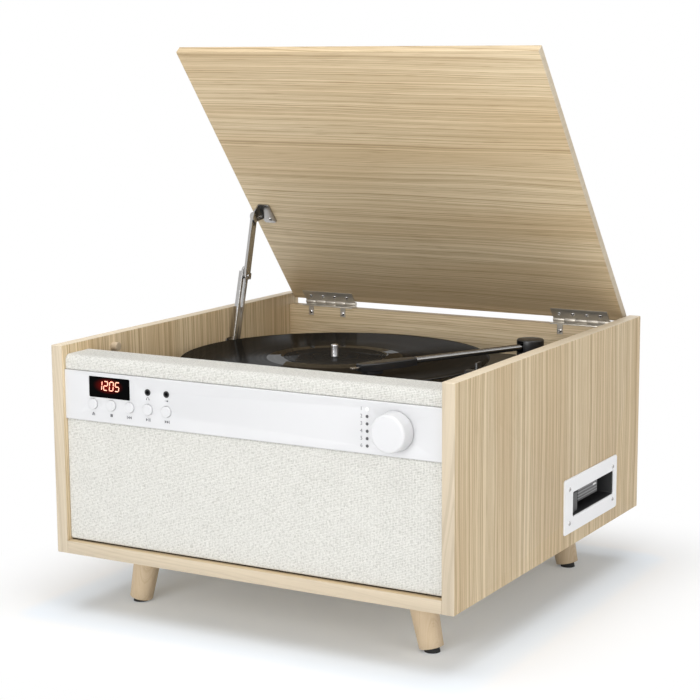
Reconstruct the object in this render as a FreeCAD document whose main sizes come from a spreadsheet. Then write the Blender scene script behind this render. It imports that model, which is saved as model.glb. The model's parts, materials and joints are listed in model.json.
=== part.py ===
"""A cabinet record player with a lift-up lid, tape slot, disc tray and splayed legs.

Millimetres and degrees, +Z up. The origin is on the floor, under the middle of the object's box.
"""
import FreeCAD, Part
import math
import os
import re
import Sketcher

# Driving sizes, all of them cells of the sheet
SIZES = {
    # cabinet
    "cabinet_width": 416, "cabinet_depth": 420, "cabinet_height": 197, "panel": 12, "panel_ease": 1,
    "back_recess": 6, "back_thick": 12, "back_height": 185.2, "vent_long": 46, "vent_high": 4,
    "vent_pitch": 11, "vent_x": -90, "vent_z": 84, "end_share": 0.49,
    # legs
    "leg_height": 56, "leg_x": 63, "leg_front": 60, "leg_back": 58, "leg_splay": 12, "leg_long": 53,
    "leg_top_radius": 13.8, "leg_end_radius": 11, "pad_radius": 7, "pad_end": 59.5, "leg_over": 6,
    "cut_slab": 40,
    # cloth front
    "cloth_recess": 5, "cloth_thick": 3, "cloth_round": 2.4, "ledge_height": 188.5, "ledge_depth": 41,
    "ledge_round": 6, "lip_depth": 8, "lip_height": 186, "rail_leg": 8, "baffle_thick": 12,
    "bumper_radius": 4, "bumper_long": 7, "bumper_y": 18, "bumper_gap": 0.3,
    # speakers
    "speaker_x": 92, "speaker_z": 70, "speaker_hole": 41, "speaker_rim": 47, "speaker_flange": 3,
    "basket_deep": 26, "basket_end": 24, "magnet_radius": 30, "magnet_deep": 14, "cone_radius": 38,
    "cone_deep": 16, "voice_radius": 11, "cone_thick": 0.8, "basket_wall": 2, "dust_cap": 4,
    # control strip
    "strip_bottom": 128.5, "strip_height": 46, "strip_thick": 2.5, "strip_proud": 1.4, "strip_round": 0.8,
    "board_gap": 10, "board_thick": 1.6, "board_side": 16, "board_margin": 2.5, "boss_radius": 3,
    "boss_x": 22, "window_x": 51, "window_wide": 46, "window_high": 19.4, "window_z": 161.2,
    "window_round": 1.2, "window_sunk": 0.4, "window_flange": 1.4, "module_deep": 7, "button_x": 32.5,
    "button_pitch": 20.5, "button_z": 145.2, "button_radius": 5, "button_proud": 1.8, "button_gap": 0.3,
    "button_flange": 0.9, "button_stem": 2, "button_crown": 0.9, "button_travel": 1.2, "switch_half": 3,
    "switch_deep": 3.2, "switch_nub": 1.6, "switch_round": 0.75, "switch_gap": 0.24, "nub_high": 0.5,
    "jack_z": 161, "jack_radius": 3.05, "jack_bore": 1.8, "jack_body": 4.6, "jack_ring": 0.4, "led_x": 72,
    "led_top_z": 167.1, "led_pitch": 6.34, "led_radius": 1.4, "led_proud": 0.3, "led_round": 0.25,
    "knob_x": 45, "knob_z": 151, "knob_radius": 17.3, "knob_reach": 11.5, "knob_lift": 0.7,
    "knob_wall": 2.4, "knob_taper": 1.1, "knob_round": 2.4, "hub_radius": 6, "shaft_radius": 3,
    "shaft_clear": 0.05, "bush_radius": 4.4, "encoder_half": 7, "shaft_end_gap": 2,
    # turntable
    "deck_height": 150, "deck_thick": 4, "deck_rail_high": 22, "deck_rail_wide": 12, "spindle_x": 170,
    "spindle_y": 212, "spindle_radius": 3.55, "spindle_rise": 12, "spindle_round": 1.6,
    "hole_radius": 3.65, "bearing_radius": 7, "bearing_flange": 11, "bearing_low": -30,
    "bearing_top": 2.5, "bearing_floor": 1, "bearing_gap": 1, "platter_radius": 98, "platter_low": 5,
    "platter_high": 14.3, "platter_plate": 3, "platter_wall": 4, "platter_ease": 1, "drive_radius": 60,
    "drive_wall": 4, "drive_low": 4.5, "platter_hub": 10, "mat_thick": 3, "mat_radius": 97,
    "record_radius": 150.8, "record_thick": 2, "record_relief": 0.4, "record_bead": 3, "record_edge": 0.6,
    "label_radius": 50, "label_thick": 0.3, "label_land": 54, "pulley_dx": -58, "pulley_dy": 58,
    "pulley_radius": 5, "pulley_low": 3.5, "pulley_high": 10.2, "pulley_lip": 1, "pulley_lip_high": 0.8,
    "pulley_shaft": 1, "motor_radius": 18, "motor_high": 24, "motor_bore": 12, "motor_shaft": 8,
    "motor_boss": 5, "belt_thick": 0.8, "belt_low": 5, "belt_high": 9, "belt_clear": 0.15,
    # tonearm
    "arm_x": 52, "arm_y": 128, "arm_z": 30, "arm_angle": 27, "arm_base_radius": 18,
    "arm_base_top": 21.6, "arm_base_step": 8, "arm_base_neck": 13, "arm_base_rim": 1, "gimbal_ease": 1,
    "gimbal_low": 22, "gimbal_high": 37, "gimbal_radius": 13.2, "gimbal_stem": 5, "gimbal_slot": 9,
    "gimbal_slot_half": 6, "block_half": 4.1, "block_long": 8, "block_round": 1, "block_high": 3.5,
    "trunnion": 1.2, "trunnion_end": 10, "tube_radius": 3.1, "tube_end": 137, "shell_tail": 4.4,
    "shell_half": 7, "shell_nose": 4.6, "shell_shoulder": 150, "shell_taper": 184, "shell_end": 199,
    "shell_low": 25.6, "shell_high": 32.6, "shell_round": 1.4, "cart_half": 5, "cart_round": 1,
    "cart_front": 193, "cart_back": 176, "cart_low": 21.8, "stylus_reach": 185.6, "stylus_tip": 19.9,
    "stylus_radius": 0.6, "lift_long": 9, "lift_half": 2.2, "lift_round": 1, "lift_low": 28.4,
    "lift_high": 29.8, "rest_reach": 127, "rest_half": 6.4, "rest_prong": 2.2, "rest_saddle": 26.3,
    "rest_top": 34, "rest_thick": 9, "rest_lip": 1.6, "rest_foot": 10, "speed_x": 21, "speed_y": 210,
    "speed_radius": 8, "speed_high": 5, "speed_bar": 20, "speed_half": 3, "speed_stem": 3,
    "lever_gap": 0.3, "stem_long": 10,
    # tape slot, right side
    "tape_y": 127, "tape_z": 40.2, "tape_wide": 131, "tape_high": 53, "tape_proud": 1.5, "tape_round": 3,
    "slot_y": 121.2, "slot_wide": 102.6, "slot_high": 23.6, "slot_round": 1.5, "sleeve_wall": 1.5,
    "well_deep": 90, "well_wall": 2, "hub_gap": 42.5, "hub_back": 28, "hub_y": 64, "reel_radius": 4.6,
    "reel_high": 7, "reel_tip": 2.8, "reel_shoulder": 4.2, "reel_stem": 2, "flap_high": 13.4,
    "flap_thick": 1.6, "flap_wide": 48, "flap_y": 25, "flap_in": 5, "rod_radius": 1.3,
    "flap_side_gap": 1.1, "eject_y": 17, "eject_wide": 13, "eject_high": 19, "eject_deep": 8,
    "eject_in": 4, "eject_round": 1.5, "eject_ease": 0.6, "tape_screw_y": 54, "tape_screw_z": 16.4,
    "tape_screw": 2.4, "screw_dome": 0.9, "screw_round": 0.7,
    # disc tray, left side
    "disc_y": 127, "disc_z": 40.2, "disc_wide": 152, "disc_high": 36, "disc_slot_wide": 134,
    "disc_slot_high": 17, "tray_gap": 0.5, "tray_front": 5, "tray_proud": 0.9, "tray_long": 142,
    "tray_thick": 6, "tray_recess": 2, "disc_radius": 61, "tray_narrow": 2, "pickup_half": 11,
    "drive_long": 152, "drive_tin": 1.5, "drive_half": 70, "drive_deep": 26, "chuck_radius": 8,
    "chuck_tip": 4, "chuck_high": 2.5, "chuck_stem": 2, "disc_centre": 72, "tray_rail": 6,
    # lid and hinges
    "lid_gap": 1.5, "lid_thick": 8.6, "lid_open": 51, "lid_front_gap": 19, "lid_rear": 3, "lid_ease": 1.2,
    "pin_height": 188.7, "pin_back": 9, "pin_radius": 1.2, "pin_clear": 0.05, "knuckle": 2.5,
    "leaf_back": 1, "leaf_front": 0.2, "leaf_deep": 16, "leaf_notch": 3.2, "hinge_x": 48,
    "hinge_long": 62, "knuckle_gap": 0.2, "hinge_screw": 2, "hinge_screw_deep": 9,
    "hinge_screw_pitch": 15, "strap_thick": 0.8, "strap_x": 20, "strap_half": 3, "strap_long": 10,
    "strap_screw": 6.4,
    # lid stay
    "stay_reach": 138.7, "stay_drop": 9.9, "stay_y": 130.85, "stay_z": 32.1, "lower_lean": 15.46,
    "upper_lean": -14.5, "upper_long": 63.4, "arm_thick": 2, "upper_thick": 2.8, "stay_boss": 4.2,
    "stay_gap": 0.3, "plate_thick": 1.5, "lower_long": 79, "lower_half": 6, "slide_from": 41,
    "slide_half": 2.4, "channel_deep": 2.6, "channel_wall": 1, "upper_half": 4.5, "collar_half": 5.4,
    "collar_high": 7, "collar_proud": 0.8, "collar_round": 1.5, "rivet": 2, "rivet_head": 4,
    "rivet_dome": 1, "plate_half": 9, "plate_round": 3, "bracket_half": 13, "bracket_shift": 5,
    "bracket_wide": 15, "tab_half": 6.5,
    # back connections and inner board
    "rear_jack_x": 60, "rear_jack_pitch": 16, "rear_jack_z": 46, "rear_jack_radius": 4.4,
    "rear_jack_rise": 5.5, "rear_jack_flange": 6.4, "flange_thick": 1.6, "rear_jack_in": 12,
    "rear_bore": 1.6, "inlet_x": 110, "inlet_radius": 5.5, "inlet_bore": 3, "inlet_flange": 8,
    "inlet_rise": 3, "pcb_x": 35, "pcb_y": 120, "pcb_wide": 120, "pcb_deep": 84, "pcb_lift": 8,
    "post_radius": 3.2, "post_inset": 6, "sink_wide": 50, "sink_y": 21, "sink_high": 24, "sink_thick": 3,
    "can_radius": 6, "can_high": 16, "can_pitch": 30, "can_y": -17,
}

# Places worked out from the sizes, written as sums of cells
PLACES = {
    "left": "-cabinet_width / 2",
    "right": "cabinet_width / 2",
    "inner": "cabinet_width / 2 - panel",
    "front": "(knob_reach - cabinet_depth) / 2",
    "rear": "front + cabinet_depth",
    "base": "leg_height",
    "top": "leg_height + cabinet_height",
    "inside": "leg_height + panel",
    "back_face": "rear - back_recess - back_thick",
    "cloth_face": "front + cloth_recess",
    "cloth_back": "cloth_face + cloth_thick",
    "strip_low": "base + strip_bottom",
    "strip_top": "strip_low + strip_height",
    "strip_face": "cloth_face - strip_proud",
    "strip_back": "strip_face + strip_thick",
    "board_face": "strip_back + board_gap",
    "ledge_top": "base + ledge_height",
    "ledge_back": "front + ledge_depth",
    "rail_back": "ledge_back + lip_depth",
    "deck": "base + deck_height",
    "deck_under": "deck - deck_thick",
    "pin_y": "back_face + pin_back",
    "pin_z": "base + pin_height",
    "lid_front": "pin_y - ledge_back - lid_front_gap",
    "stay_lid_y": "pin_y - stay_reach * cos(lid_open) - stay_drop * sin(lid_open)",
    "stay_lid_z": "pin_z + stay_reach * sin(lid_open) - stay_drop * cos(lid_open)",
    "plate_face": "-inner + plate_thick",
    "stay_pivot_y": "pin_y - stay_y",
    "stay_pivot_z": "pin_z - stay_z",
    "lower_face": "plate_face + stay_boss + stay_gap",
    "upper_face": "lower_face + arm_thick + stay_gap",
    "tab_face": "upper_face + upper_thick + stay_gap",
    "window": "-inner + window_x",
    "lamps": "inner - led_x",
    "knob_mid": "inner - knob_x",
    "spindle": "-inner + spindle_x",
    "spindle_mid": "rear - spindle_y",
    "arm": "inner - arm_x",
    "arm_mid": "rear - arm_y",
    "rest_mid": "arm_mid - rest_reach",
    "tape_mid": "rear - tape_y",
    "slot_mid": "rear - slot_y",
    "slot_edge": "slot_mid - slot_wide / 2",
    "slot_floor": "tape_height - slot_high / 2",
    "tape_height": "base + tape_z",
    "disc_mid": "rear - disc_y",
    "disc_height": "base + disc_z",
    "tray_low": "disc_height - disc_slot_high / 2 + tray_gap",
}

BUTTONS = ["tray", "stop", "back", "play", "skip"]
LED_COUNT = 6
VENT_COUNT = 5
KNUCKLES = 5
LID_SCREWS = 4
TOLERANCE = 0.01

doc = FreeCAD.newDocument("record_player")
sheet = doc.addObject("Spreadsheet::Sheet", "Sizes")
for row, (alias, number) in enumerate(SIZES.items(), 1):
    sheet.set(f"A{row}", alias)
    sheet.set(f"B{row}", str(number))
    sheet.setAlias(f"B{row}", alias)
doc.recompute()

nodes = {}
cabinet_screws = []
lid_screws = []
boards = []


def cells(text):
    """Turn a sum of size and place names into an expression on the sheet."""
    def swap(word):
        name = word.group(0)
        if name in PLACES:
            return f"({cells(PLACES[name])})"
        return f"Sizes.{name}" if name in SIZES else name
    return re.sub(r"[a-z_]+", swap, text)


def number(text):
    return float(sheet.evalExpression(cells(text)))


def bind(thing, **sums):
    for name, text in sums.items():
        thing.setExpression(name.replace("__", "."), cells(text))


def node(label, thing):
    """Register a finished sub-part under its own name."""
    thing.Label = label
    nodes[label] = thing
    return thing


def place(thing, x="0", y="0", z="0", axis=None, turn="0"):
    if axis:
        thing.Placement = FreeCAD.Placement(FreeCAD.Vector(), FreeCAD.Rotation(FreeCAD.Vector(*axis), 1))
        bind(thing, Placement__Rotation__Angle=turn)
    bind(thing, Placement__Base__x=x, Placement__Base__y=y, Placement__Base__z=z)
    return thing


def new_body(name):
    return doc.addObject("PartDesign::Body", name)


def fix(sketch, kind, *where_and_sum):
    """Add one dimension to a sketch and bind it to the sheet."""
    *where, text = where_and_sum
    index = sketch.addConstraint(Sketcher.Constraint(kind, *where, number(text)))
    sketch.setExpression(f"Constraints[{index}]", cells(text))


def pin_point(sketch, item, spot, x, y):
    fix(sketch, "DistanceX", -1, 1, item, spot, x)
    fix(sketch, "DistanceY", -1, 1, item, spot, y)


def draw_polygon(sketch, points):
    spots = [FreeCAD.Vector(number(x), number(y), 0) for x, y in points]
    lines = [sketch.addGeometry(Part.LineSegment(a, b), False) for a,
             b in zip(spots, spots[1:] + spots[:1])]
    for line, following in zip(lines, lines[1:] + lines[:1]):
        sketch.addConstraint(Sketcher.Constraint("Coincident", line, 2, following, 1))
    for line, (x, y) in zip(lines, points):
        pin_point(sketch, line, 1, x, y)


def draw_circle(sketch, x, y, radius):
    spot = FreeCAD.Vector(number(x), number(y), 0)
    ring = sketch.addGeometry(Part.Circle(spot, FreeCAD.Vector(0, 0, 1), number(radius)), False)
    pin_point(sketch, ring, 3, x, y)
    fix(sketch, "Radius", ring, radius)


def draw_round(sketch, x, y, wide, high, radius):
    """A rectangle about (x, y) with round corners."""
    x0, x1 = f"({x}) - ({wide}) / 2", f"({x}) + ({wide}) / 2"
    y0, y1 = f"({y}) - ({high}) / 2", f"({y}) + ({high}) / 2"
    corners = [(x0, y0, 1, 1, 180), (x1, y0, -1, 1, 270), (x1, y1, -1, -1, 0), (x0, y1, 1, -1, 90)]
    arcs = []
    for cx, cy, sx, sy, start in corners:
        centre = (f"{cx} + {sx} * ({radius})", f"{cy} + {sy} * ({radius})")
        ring = Part.Circle(FreeCAD.Vector(number(centre[0]), number(centre[1]), 0),
                           FreeCAD.Vector(0, 0, 1), number(radius))
        arc = Part.ArcOfCircle(ring, math.radians(start), math.radians(start + 90))
        arcs.append(sketch.addGeometry(arc, False))
        pin_point(sketch, arcs[-1], 3, *centre)
        fix(sketch, "Radius", arcs[-1], radius)
    for index, arc in enumerate(arcs):
        following = arcs[(index + 1) % len(arcs)]
        side = Part.LineSegment(sketch.getPoint(arc, 2), sketch.getPoint(following, 1))
        line = sketch.addGeometry(side, False)
        sketch.addConstraint(Sketcher.Constraint("Tangent", arc, 2, line, 1))
        sketch.addConstraint(Sketcher.Constraint("Tangent", line, 2, following, 1))


def new_sketch(body, role, offset, loops):
    """A sketch on one of the body's own planes, moved along its normal."""
    sketch = body.newObject("Sketcher::SketchObject", body.Name + "_sketch")
    plane = next(item for item in body.Origin.OriginFeatures if item.Role == role)
    sketch.AttachmentSupport = [(plane, "")]
    sketch.MapMode = "FlatFace"
    bind(sketch, AttachmentOffset__Base__z=offset)
    for kind, *values in loops:
        {"polygon": draw_polygon, "circle": draw_circle, "round": draw_round}[kind](sketch, *values)
    return sketch


def box_loop(x0, y0, x1, y1):
    return ("polygon", [(x0, y0), (x1, y0), (x1, y1), (x0, y1)])


def add(body, role, low, high, loops):
    """Pad loops from low to high along the plane's axis."""
    front_plane = role == "XZ_Plane"
    sketch = new_sketch(body, role, f"-({low})" if front_plane else low, loops)
    pad = body.newObject("PartDesign::Pad", body.Name + "_pad")
    pad.Profile = sketch
    pad.Reversed = front_plane
    bind(pad, Length=f"({high}) - ({low})")
    return body


def cut(body, role, low, high, loops):
    """Take loops away from low to high along the plane's axis."""
    front_plane = role == "XZ_Plane"
    sketch = new_sketch(body, role, f"-({low})" if front_plane else high, loops)
    pocket = body.newObject("PartDesign::Pocket", body.Name + "_pocket")
    pocket.Profile = sketch
    bind(pocket, Length=f"({high}) - ({low})")
    return body


def padded(name, role, low, high, loops):
    return add(new_body(name), role, low, high, loops)


def revolved(name, profile):
    """A turned piece about its own Z axis, from (radius, height) points."""
    body = new_body(name)
    sketch = new_sketch(body, "XZ_Plane", "0", [("polygon", profile)])
    turn = body.newObject("PartDesign::Revolution", name + "_turn")
    turn.Profile = sketch
    turn.ReferenceAxis = (sketch, ["V_Axis"])
    turn.Angle = 360
    return body


def facing_front(body, x, y, z):
    """Stand a turned piece with its top towards the front."""
    return place(body, x, y, z, (1, 0, 0), "90")


def soften(body, radius, chosen):
    """Round the edges that the test picks."""
    doc.recompute()
    rounded = body.Tip
    edges = rounded.Shape.Edges
    names = [f"Edge{index}" for index, edge in enumerate(edges, 1) if chosen(edge)]
    fillet = body.newObject("PartDesign::Fillet", body.Name + "_round")
    fillet.Base = (rounded, names)
    bind(fillet, Radius=radius)
    return body


def at(edge, axis, text):
    """True where the whole edge lies at one coordinate."""
    low, high = getattr(edge.BoundBox, axis + "Min"), getattr(edge.BoundBox, axis + "Max")
    return abs(low - number(text)) < TOLERANCE and abs(high - number(text)) < TOLERANCE


def round_top(body, radius, height):
    """Round the top edge of a turned piece."""
    return soften(body, radius, lambda edge: at(edge, "Z", height))


def screw_head(name, radius):
    return round_top(revolved(name, [("0", "0"), (radius, "0"), (radius, "screw_dome"),
                                     ("0", "screw_dome")]),
                     "screw_round", "screw_dome")


def group(label, things):
    compound = doc.addObject("Part::Compound", label + "_set")
    compound.Links = things
    return node(label, compound)


def slab(name, low, high):
    """A block wider than the object, between two heights."""
    block = doc.addObject("Part::Box", name)
    bind(block, Length="2 * cabinet_width", Width="2 * cabinet_depth", Height=f"({high}) - ({low})")
    return place(block, "-cabinet_width", "-cabinet_depth", low)


def without(name, whole, tool):
    result = doc.addObject("Part::Cut", name)
    result.Base = whole
    result.Tool = tool
    return result


def side_panels():
    outline = box_loop("front", "base", "rear", "top")
    disc_hole = ("round", "disc_mid", "disc_height", "disc_slot_wide + 2 * sleeve_wall",
                 "disc_slot_high + 2 * sleeve_wall", "slot_round + sleeve_wall")
    tape_hole = ("round", "slot_mid", "tape_height", "slot_wide + 2 * sleeve_wall",
                 "slot_high + 2 * sleeve_wall", "slot_round + sleeve_wall")
    cleat = box_loop("rail_back", "deck_under - deck_rail_high", "back_face", "deck_under")
    for label, low, outer, ledge, hole in (
            ("left_side_panel", "left", "left", "-inner", disc_hole),
            ("right_side_panel", "inner", "right", "inner - deck_rail_wide", tape_hole)):
        body = padded(label, "YZ_Plane", low, f"{low} + panel", [outline, hole])
        soften(body, "panel_ease",
               lambda edge: at(edge, "X", outer) and edge.Length > number("cabinet_height - panel"))
        node(label, add(body, "YZ_Plane", ledge, f"{ledge} + deck_rail_wide", [cleat]))


def floor_and_back():
    node("bottom_panel", padded("bottom_panel", "XY_Plane", "base", "inside",
                                [box_loop("-inner", "front", "inner", "rear")]))
    openings = [("circle", f"rear_jack_x + {index} * rear_jack_pitch", "base + rear_jack_z",
                 "rear_jack_radius")
                for index in range(2)]
    openings.append(("circle", "inlet_x", "base + rear_jack_z", "inlet_radius"))
    openings += [("round", "vent_x", f"base + vent_z + {index} * vent_pitch", "vent_long", "vent_high",
                  "vent_high * end_share") for index in range(VENT_COUNT)]
    node("back_panel", padded("back_panel", "XZ_Plane", "back_face", "back_face + back_thick",
                              [box_loop("-inner", "inside", "inner", "base + back_height"), *openings]))


def legs():
    """Four tapered legs that lean out to the sides, with soft feet cut flat on the floor."""
    posts, feet = [], []
    spots = [(side, y) for side in (-1, 1) for y in ("front + leg_front", "rear - leg_back")]
    for index, (side, y) in enumerate(spots):
        spot = (f"{side} * (right - leg_x)", y, "base", (0, 1, 0), f"{-side} * leg_splay")
        post = place(revolved(f"leg_{index}", [("0", "leg_over"), ("leg_top_radius", "leg_over"),
                                               ("leg_end_radius", "-leg_long"), ("0", "-leg_long")]),
                                               *spot)
        posts.append(without(f"leg_cut_{index}", post,
                             slab(f"leg_slab_{index}", "base", "base + cut_slab")))
        foot = place(revolved(f"foot_{index}", [("0", "-leg_long"), ("pad_radius", "-leg_long"),
                                                ("pad_radius", "-pad_end"), ("0", "-pad_end")]), *spot)
        feet.append(without(f"foot_cut_{index}", foot, slab(f"foot_slab_{index}", "-cut_slab", "0")))
    group("legs", posts)
    group("leg_feet", feet)


def cloth_front():
    low_cloth = padded("lower_grille_cloth", "XZ_Plane", "cloth_face", "cloth_back",
                       [box_loop("-inner", "inside", "inner", "strip_low")])
    node("lower_grille_cloth", soften(low_cloth, "cloth_round", lambda edge: at(edge, "Y", "cloth_face")))
    holes = [("circle", f"{side} * (inner - speaker_x)", "base + speaker_z",
              "speaker_hole") for side in (-1, 1)]
    node("speaker_baffle", padded("speaker_baffle", "XZ_Plane", "cloth_back", "cloth_back + baffle_thick",
                                  [box_loop("-inner", "inside", "inner", "strip_low"), *holes]))
    wrap = [("cloth_face", "strip_top"), ("cloth_face", "ledge_top"), ("ledge_back", "ledge_top"),
            ("ledge_back", "ledge_top - cloth_thick"), ("cloth_back", "ledge_top - cloth_thick"),
            ("cloth_back", "strip_top")]
    ledge = padded("upper_grille_cloth", "YZ_Plane", "-inner", "inner", [("polygon", wrap)])
    soften(ledge, "ledge_round", lambda edge: at(edge, "Y", "cloth_face") and at(edge, "Z", "ledge_top"))
    node("upper_grille_cloth", ledge)
    rail = [("cloth_back", "strip_top"), ("cloth_back", "ledge_top - cloth_thick"),
            ("ledge_back", "ledge_top - cloth_thick"), ("ledge_back", "base + lip_height"),
            ("rail_back", "base + lip_height"), ("rail_back", "deck"), ("rail_back - rail_leg", "deck"),
            ("rail_back - rail_leg", "strip_top")]
    node("front_rail", padded("front_rail", "YZ_Plane", "-inner", "inner", [("polygon", rail)]))
    bumpers = [place(revolved(f"bumper_{index}", [("0", "0"), ("bumper_radius", "0"),
                                                  ("bumper_radius", "bumper_long"),
                                                  ("0", "bumper_long")]),
                     f"{side} * inner", "pin_y - lid_front + bumper_y",
                     "pin_z + leaf_back - bumper_gap - bumper_radius", (0, 1, 0), f"{-side} * 90")
               for index, side in enumerate((-1, 1))]
    group("lid_bumpers", bumpers)


def speakers():
    frames, cones = [], []
    for index, side in enumerate((-1, 1)):
        spot = (f"{side} * (inner - speaker_x)", "cloth_back + baffle_thick", "base + speaker_z",
                (1, 0, 0), "-90")
        frames.append(place(revolved(f"speaker_frame_{index}", [
            ("speaker_hole", "0"), ("speaker_rim", "0"), ("speaker_rim", "speaker_flange"),
            ("speaker_hole + basket_wall", "speaker_flange"), ("basket_end + basket_wall", "basket_deep"),
            ("magnet_radius", "basket_deep"), ("magnet_radius", "basket_deep + magnet_deep"),
            ("0", "basket_deep + magnet_deep"), ("0", "basket_deep - basket_wall"),
            ("basket_end", "basket_deep - basket_wall"), ("speaker_hole", "speaker_flange")]), *spot))
        cones.append(place(revolved(f"speaker_cone_{index}", [
            ("speaker_hole", "0"), ("speaker_hole", "cone_thick"), ("cone_radius", "cone_thick"),
            ("voice_radius", "cone_deep"), ("0", "cone_deep - dust_cap"),
            ("0", "cone_deep - dust_cap - cone_thick"), ("voice_radius", "cone_deep - cone_thick"),
            ("cone_radius", "0")]), *spot))
    group("speaker_frames", frames)
    group("speaker_cones", cones)


def button_place(index):
    return f"-inner + button_x + {index} * button_pitch"


def control_strip():
    holes = [("round", "window", "base + window_z", "window_wide", "window_high", "window_round")]
    holes += [("circle", button_place(index), "base + button_z", "button_radius + button_gap")
              for index in range(len(BUTTONS))]
    holes += [("circle", button_place(index), "base + jack_z", "jack_radius") for index in (3, 4)]
    holes += [("circle", "lamps", f"base + led_top_z - {index} * led_pitch", "led_radius")
              for index in range(LED_COUNT)]
    holes.append(("circle", "knob_mid", "base + knob_z", "bush_radius"))
    outline = box_loop("-inner", "strip_low", "inner", "strip_top")
    strip = padded("control_strip", "XZ_Plane", "strip_face", "strip_back", [outline, *holes])
    soften(strip, "strip_round",
           lambda edge: at(edge, "Y", "strip_face") and edge.Length > number("strip_height - strip_round"))
    levels = ("strip_low + board_margin + boss_radius", "strip_top - board_margin - boss_radius")
    bosses = [("circle", f"{side} * (inner - boss_x)", level, "boss_radius") for side in (-1, 1)
              for level in levels]
    node("control_strip", add(strip, "XZ_Plane", "strip_back", "board_face", bosses))


def display():
    pane = ("round", "window", "base + window_z", "window_wide", "window_high", "window_round")
    flange = ("round", "window", "base + window_z", "window_wide + 2 * window_flange", "window_high",
              "window_round")
    window = padded("display_window", "XZ_Plane", "strip_face + window_sunk", "strip_back", [pane])
    node("display_window", add(window, "XZ_Plane", "strip_back", "strip_back + window_flange", [flange]))


def control_board():
    """The board behind the strip with its display block, five switches and the selector's bush."""
    plate = box_loop("-inner + board_side", "strip_low + board_margin", "inner - board_side",
                     "strip_top - board_margin")
    board = padded("control_board", "XZ_Plane", "board_face", "board_face + board_thick", [plate])
    add(board, "XZ_Plane", "board_face - module_deep", "board_face",
        [("round", "window", "base + window_z", "window_wide", "window_high", "window_round")])
    switches = [("round", button_place(index), "base + button_z", "2 * switch_half", "2 * switch_half",
                 "switch_round") for index in range(len(BUTTONS))]
    add(board, "XZ_Plane", "board_face - switch_deep", "board_face", switches)
    nubs = [("circle", button_place(index), "base + button_z",
             "switch_nub") for index in range(len(BUTTONS))]
    add(board, "XZ_Plane", "board_face - switch_deep - nub_high", "board_face - switch_deep", nubs)
    axis = ("circle", "knob_mid", "base + knob_z")
    add(board, "XZ_Plane", "strip_back", "board_face", [(*axis, "encoder_half")])
    add(board, "XZ_Plane", "strip_face", "strip_back", [(*axis, "bush_radius")])
    boards.append(cut(board, "XZ_Plane", "strip_face", "board_face",
                      [(*axis, "shaft_radius + shaft_clear")]))


def buttons():
    """Round caps with a collar behind the strip and a stem that stops one stroke short of the switch."""
    stem_end = "button_travel + switch_gap + switch_deep + nub_high - board_gap - strip_thick"
    for index, name in enumerate(BUTTONS):
        cap = [("0", "button_proud"), ("button_radius", "button_proud"),
               ("button_radius", "-strip_thick - button_gap"),
               ("button_radius + button_flange", "-strip_thick - button_gap"),
               ("button_radius + button_flange", "-strip_thick - button_gap - button_flange"),
               ("button_stem", "-strip_thick - button_gap - button_flange"),
               ("button_stem", stem_end), ("0", stem_end)]
        label = f"{name}_button"
        button = round_top(revolved(label, cap), "button_crown", "button_proud")
        node(label, facing_front(button, button_place(index), "strip_face", "base + button_z"))


def jacks_and_lamps():
    socket = [("jack_bore", "jack_ring"), ("jack_radius", "jack_ring"), ("jack_radius", "-strip_thick"),
              ("jack_body", "-strip_thick"), ("jack_body", "-strip_thick - board_gap"),
              ("0", "-strip_thick - board_gap"), ("0", "-board_gap"), ("jack_bore", "-board_gap")]
    group("front_jacks", [facing_front(revolved(f"front_jack_{index}", socket), button_place(index),
                                       "strip_face", "base + jack_z") for index in (3, 4)])
    lamp = [("0", "led_proud"), ("led_radius", "led_proud"), ("led_radius", "-strip_thick - board_gap"),
            ("0", "-strip_thick - board_gap")]
    lamps = []
    for index in range(LED_COUNT):
        lens = round_top(revolved(f"lamp_{index}", lamp), "led_round", "led_proud")
        lamps.append(facing_front(lens, "lamps", "strip_face", f"base + led_top_z - {index} * led_pitch"))
    group("indicator_lamps", lamps)


def knob():
    """A hollow knob whose shaft runs in the bush of the control board."""
    face = "knob_reach + cloth_recess - strip_proud"
    shaft_end = "-strip_thick - board_gap + shaft_end_gap"
    cap = [("0", face), ("knob_radius - knob_taper", face), ("knob_radius", "knob_lift"),
           ("knob_radius - knob_wall", "knob_lift"),
           ("knob_radius - knob_wall - knob_taper", f"{face} - knob_wall"),
           ("hub_radius", f"{face} - knob_wall"), ("hub_radius", "knob_lift"),
           ("shaft_radius", "knob_lift"), ("shaft_radius", shaft_end), ("0", shaft_end)]
    turned = round_top(revolved("selector_knob", cap), "knob_round", face)
    node("selector_knob", facing_front(turned, "knob_mid", "strip_face", "base + knob_z"))


def deck():
    holes = [("circle", "spindle", "spindle_mid", "bearing_radius"),
             ("circle", "spindle + pulley_dx", "spindle_mid + pulley_dy", "motor_boss"),
             ("circle", "arm", "arm_mid", "arm_base_neck"),
             ("circle", "inner - speed_x", "rear - speed_y", "speed_stem + shaft_clear")]
    plate = [box_loop("-inner", "rail_back - rail_leg", "inner", "back_face"), *holes]
    node("deck_plate", padded("deck_plate", "XY_Plane", "deck_under", "deck", plate))


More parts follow.
